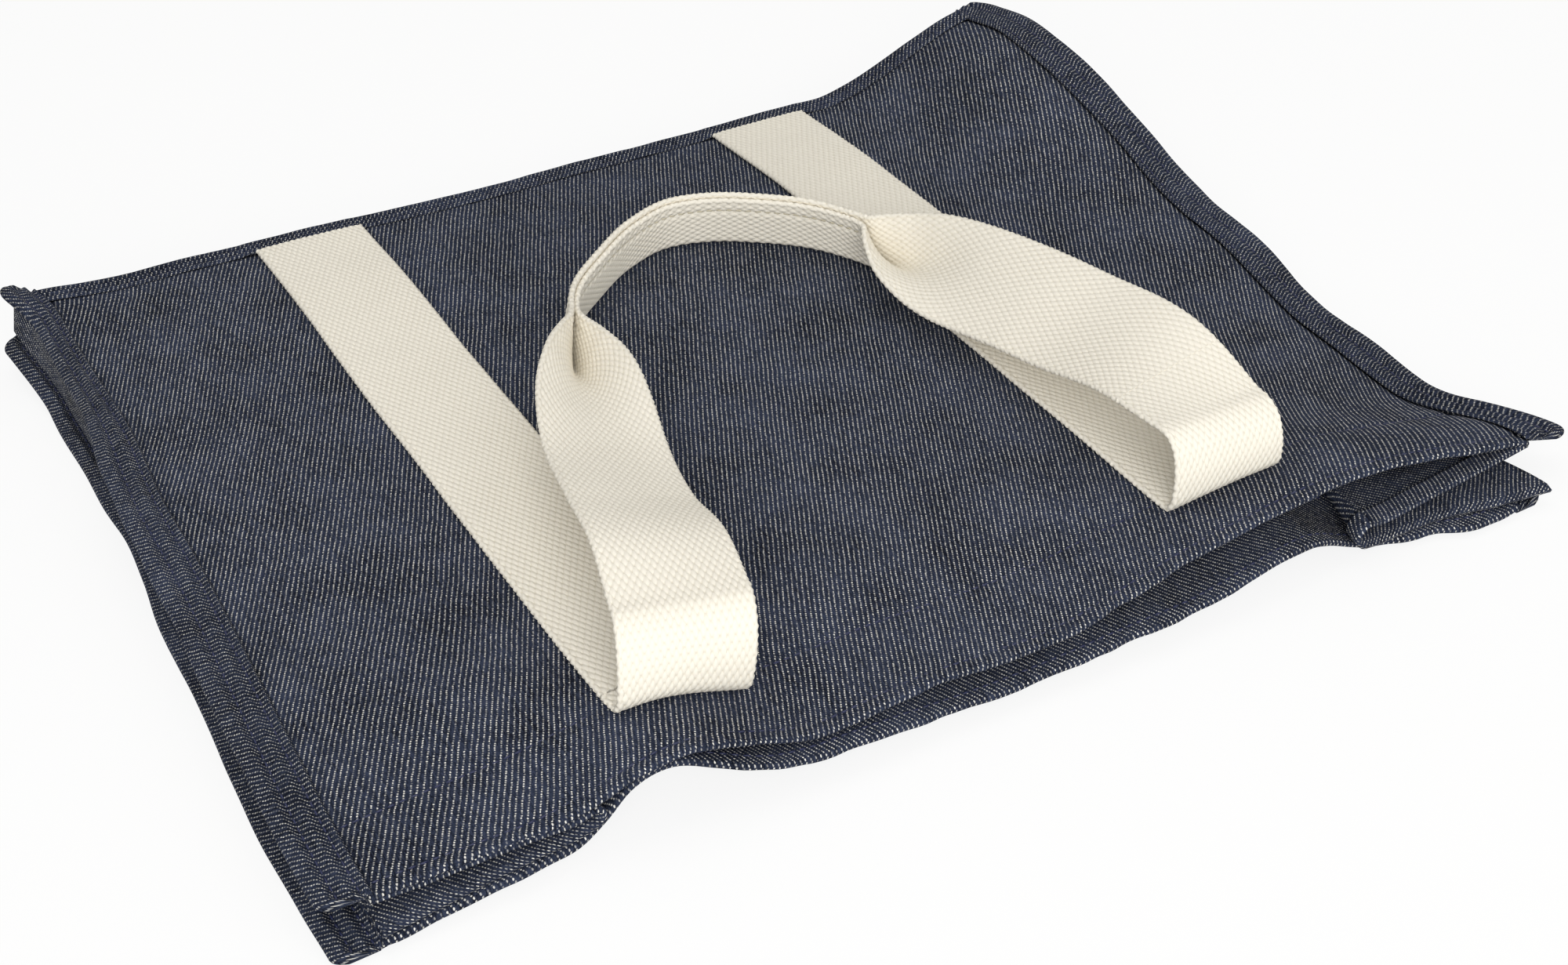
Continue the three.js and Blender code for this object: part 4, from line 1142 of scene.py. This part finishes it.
class BAG_OT_handles(bpy.types.Operator):
    """Webbing handles: sewn legs, turns at the hem and loose loops with a folded grip"""

    bl_idname = "bag.handles"
    bl_label = "Webbing Handles"

    def execute(self, context):
        bag = Bag(context.scene.bag_sizes)
        self.handle(bag, "front", bag.front_point, FRONT_LOOP, 1)
        self.handle(bag, "back", bag.back_point, BACK_LOOP, -1)
        return {"FINISHED"}

    def handle(self, bag, face, point, stations, up):
        """One handle. up is the side of the cloth that it is sewn to."""
        lift = up * bag.leg_lift
        loop, folded, outer = loop_rows(bag, stations, face)
        cut = int(TURN_SHARE / WEB_STEP)
        body = f"{face}_handle"
        inner = bag.hem_y + TURN_SHARE
        loop_length = 0.0
        for side, hand in SIDES:
            leg = leg_rows(bag, hand, point, lift, bag.panel_base_y - LEG_GAP, inner)
            piece, flat = webbing_surface(f"{face}_{side}_leg_webbing", bag, leg, 0.0)
            declare(piece, flat, "laid", "webbing", [f"{face}_cloth"], f"{face}_{side}_leg")
            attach(piece, face)
            tail = leg_rows(bag, hand, point, lift, inner, bag.hem_y)
            run = loop[:cut + 1, ::-1] if hand < 0 else loop[:-cut - 2:-1]
            turn = turn_rows(bag, point, lift, tail[-1], run[0])
            rows = np.concatenate([tail, turn[1:], run[1:]])
            piece, turned = webbing_surface(f"{face}_{side}_turn_webbing", bag, rows, flat[1] / MM)
            declare(piece, turned, "folded", "webbing", [f"{face}_cloth"], f"{face}_{side}_turn")
            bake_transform(piece)
            if hand < 0:
                loop_length = (flat[1] + turned[1]) / MM
        sewn = ease((folded[cut:-cut] - SEWN_FROM) / (1 - SEWN_FROM))
        piece, flat = webbing_surface(f"{face}_loop_webbing", bag, loop[cut:-cut], loop_length, sewn)
        declare(
            piece, flat, "folded", "webbing", [f"{face}_cloth"],
            f"{face}_left_run", f"{face}_grip", f"{face}_right_run",
        )
        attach(piece, body)
        closed = folded[:, 0] > THREAD_FROM
        self.grip_seam(bag, face, loop[closed], outer[closed])

    def grip_seam(self, bag, face, grip, outer):
        """Cream stitches through both halves of the grip."""
        shape = bmesh.new()
        skin = bag.webbing_thickness / 2 - SEAM_DIP + GRIP_PROUD
        column = int(round(GRIP_SEAM / bag.webbing_width * WEB_COLUMNS))
        near, far = column, -1 - column
        ways = {
            "front": ((near, -outer), (far, outer)),
            "back": ((far, (0, 0, 1)), (near, (0, 0, -1))),
        }
        for at, out in ways[face]:
            raised = np.broadcast_to(out, outer.shape)
            sew(shape, bag, grip[:, at] + skin * raised, raised)
        piece = finish_thread(f"{face}_grip_stitching", shape, "cream_polyester_thread")
        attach(piece, f"{face}_handle")


# How far the stitch lines stop short of the hem's ends, of the mouth and of the bindings' ends, and how far
# they keep from the middle of a leg
HEM_END, MOUTH_END, TAPE_END = 2, 2, 3
LEG_CLEAR = 24


class BAG_OT_stitches(bpy.types.Operator):
    """Navy thread along the hems and bindings"""

    bl_idname = "bag.stitches"
    bl_label = "Stitching"

    def execute(self, context):
        bag = Bag(context.scene.bag_sizes)
        for face, point, side_point, mouth_y, up in bag.faces():
            shape = bmesh.new()
            raised = (0, 0, 1)
            skin = bag.cloth_thickness / 2 - STITCH_DIP + HEM_PROUD
            inside = bag.hem_offset + bag.cloth_thickness / 2 + INSIDE_PROUD
            x = np.linspace(-bag.panel_edge + HEM_END, bag.panel_edge - HEM_END, 400)
            for line in HEM_STITCHES:
                for lift in (up * skin, -up * inside):
                    sew(shape, bag, point(x, mouth_y + line + 0 * x, lift), raised)
            y = np.linspace(mouth_y + MOUTH_END, bag.base_y - TAPE_END, 400)
            top = bag.binding_thickness / 2 * STITCH_GROOVE + TAPE_PROUD
            for hand in (-1, 1):
                for line in binding_stitches(bag.side_binding):
                    sew(shape, bag, side_point(hand * (bag.half_panel + line + 0 * y), y, top), raised)
            between = bag.strap_x - bag.webbing_width / 2 - TAPE_END
            beside, outer = bag.strap_x + LEG_CLEAR, bag.panel_edge - TAPE_END
            for start, end in ((-outer, -beside), (-between, between), (beside, outer)):
                x = np.linspace(start, end, 200)
                for line in binding_stitches(bag.base_binding):
                    sew(shape, bag, point(x, bag.panel_base_y + line + 0 * x, up * top), raised)
            piece = finish_thread(f"{face}_stitching", shape, "navy_polyester_thread")
            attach(piece, face)
        return {"FINISHED"}


class BAG_OT_snap(bpy.types.Operator):
    """Magnetic snap inside the mouth"""

    bl_idname = "bag.snap"
    bl_label = "Magnetic Snap"

    def execute(self, context):
        for name, finish in (
            ("snap_socket", "nickel_plated_steel"),
            ("snap_stud", "nickel_plated_steel"),
            ("snap_magnet", "sintered_ferrite"),
        ):
            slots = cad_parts[name].data.materials
            slots.clear()
            slots.append(finish_of(finish))
        return {"FINISHED"}


# Half the floor's size, its drop below the bag, how much of it glows, and the light from all round
FLOOR_SIZE = 3.0
FLOOR_DROP = 0.0004
FLOOR_GLOW = 0.85
AMBIENT = 0.4
WHITE = (1, 1, 1, 1)
# Each lamp's name, place, size and power
LAMPS = (
    ("key", (-0.7, -1.35, 0.8), 1.2, 22.0),
    ("fill", (0.9, -0.7, 0.8), 1.2, 3.5),
    ("top", (0.0, 0.4, 1.5), 1.2, 5.0),
)


def seen_ray(tree):
    """1 for what the camera sees, also in shiny and clear parts, and 0 for light on its way."""
    rays = node(tree, "LightPath").outputs
    seen = node(tree, "Math", {0: rays["Is Camera Ray"], 1: rays["Is Glossy Ray"]}, operation="MAXIMUM")
    return node(tree, "Math", {0: seen, 1: rays["Is Transmission Ray"]}, operation="MAXIMUM")


class BAG_OT_stage(bpy.types.Operator):
    """Pale floor, soft studio lamps and the camera at the photographed angle"""

    bl_idname = "bag.stage"
    bl_label = "Stage"

    def execute(self, context):
        scene = context.scene
        scene.view_settings.view_transform = "Standard"
        self.floor(scene)
        self.lamps(scene)
        lens = bpy.data.cameras.new("camera")
        lens.lens = CAMERA_LENS
        lens.sensor_fit = "HORIZONTAL"
        lens.shift_x, lens.shift_y = CAMERA_SHIFT
        camera = bpy.data.objects.new("camera", lens)
        camera.location = CAMERA_PLACE
        camera.rotation_euler = [math.radians(angle) for angle in CAMERA_TURN]
        scene.collection.objects.link(camera)
        scene.camera = camera
        return {"FINISHED"}

    def floor(self, scene):
        shape = bmesh.new()
        bmesh.ops.create_grid(shape, x_segments=2, y_segments=2, size=FLOOR_SIZE)
        bmesh.ops.translate(shape, verts=shape.verts, vec=(0, 0, -FLOOR_DROP))
        material, tree, shader = new_material("painted_floor")
        node(tree, shader, {"Base Color": scene.bag_colours.floor, "Roughness": 0.9})
        # The eye and the shiny parts see the floor near white, and the shadow still shows on it
        glow = node(tree, "Emission", {"Color": WHITE, "Strength": 1.0})
        share = node(tree, "Math", {0: seen_ray(tree), 1: FLOOR_GLOW}, operation="MULTIPLY")
        mixed = node(tree, "MixShader", {0: share, 1: shader, 2: glow})
        node(tree, tree.nodes["Material Output"], {"Surface": mixed})
        show("floor", shape, material)

    def lamps(self, scene):
        for name, place, size, power in LAMPS:
            lamp = bpy.data.lights.new(name, "AREA")
            lamp.energy = power
            lamp.size = size
            holder = bpy.data.objects.new(name, lamp)
            holder.location = place
            holder.rotation_euler = (-Vector(place)).to_track_quat("-Z", "Y").to_euler()
            scene.collection.objects.link(holder)
        world = scene.world or bpy.data.worlds.new("studio")
        scene.world = world
        world.use_nodes = True
        tree = world.node_tree
        strength = node(tree, "MapRange", {0: seen_ray(tree), 3: AMBIENT, 4: 1.0})
        node(tree, tree.nodes["Background"], {"Color": WHITE, "Strength": strength})


class BAG_PT_panel(bpy.types.Panel):
    """Sizes, colours and pieces of the bag"""

    bl_label = "Denim Shopping Bag"
    bl_idname = "BAG_PT_panel"
    bl_space_type = "VIEW_3D"
    bl_region_type = "UI"
    bl_category = "Bag"

    def draw(self, context):
        for group in (context.scene.bag_sizes, context.scene.bag_colours):
            box = self.layout.box()
            for name in type(group).__annotations__:
                box.prop(group, name)
        for operator in OPERATORS:
            self.layout.operator(operator.bl_idname)


OPERATORS = (
    BAG_OT_stage, BAG_OT_faces, BAG_OT_base, BAG_OT_gussets,
    BAG_OT_bindings, BAG_OT_handles, BAG_OT_stitches, BAG_OT_snap,
)
CLASSES = (BagSizes, BagColours, *OPERATORS, BAG_PT_panel)


def register():
    for cls in CLASSES:
        bpy.utils.register_class(cls)
    bpy.types.Scene.bag_sizes = bpy.props.PointerProperty(type=BagSizes)
    bpy.types.Scene.bag_colours = bpy.props.PointerProperty(type=BagColours)


def unregister():
    del bpy.types.Scene.bag_colours
    del bpy.types.Scene.bag_sizes
    for cls in reversed(CLASSES):
        bpy.utils.unregister_class(cls)


def main():
    register()
    bpy.ops.bag.stage()
    bpy.ops.bag.faces()
    bpy.ops.bag.base()
    bpy.ops.bag.gussets()
    bpy.ops.bag.bindings()
    bpy.ops.bag.handles()
    bpy.ops.bag.stitches()
    bpy.ops.bag.snap()
    bpy.context.view_layer.update()


if __name__ == "__main__":
    main()
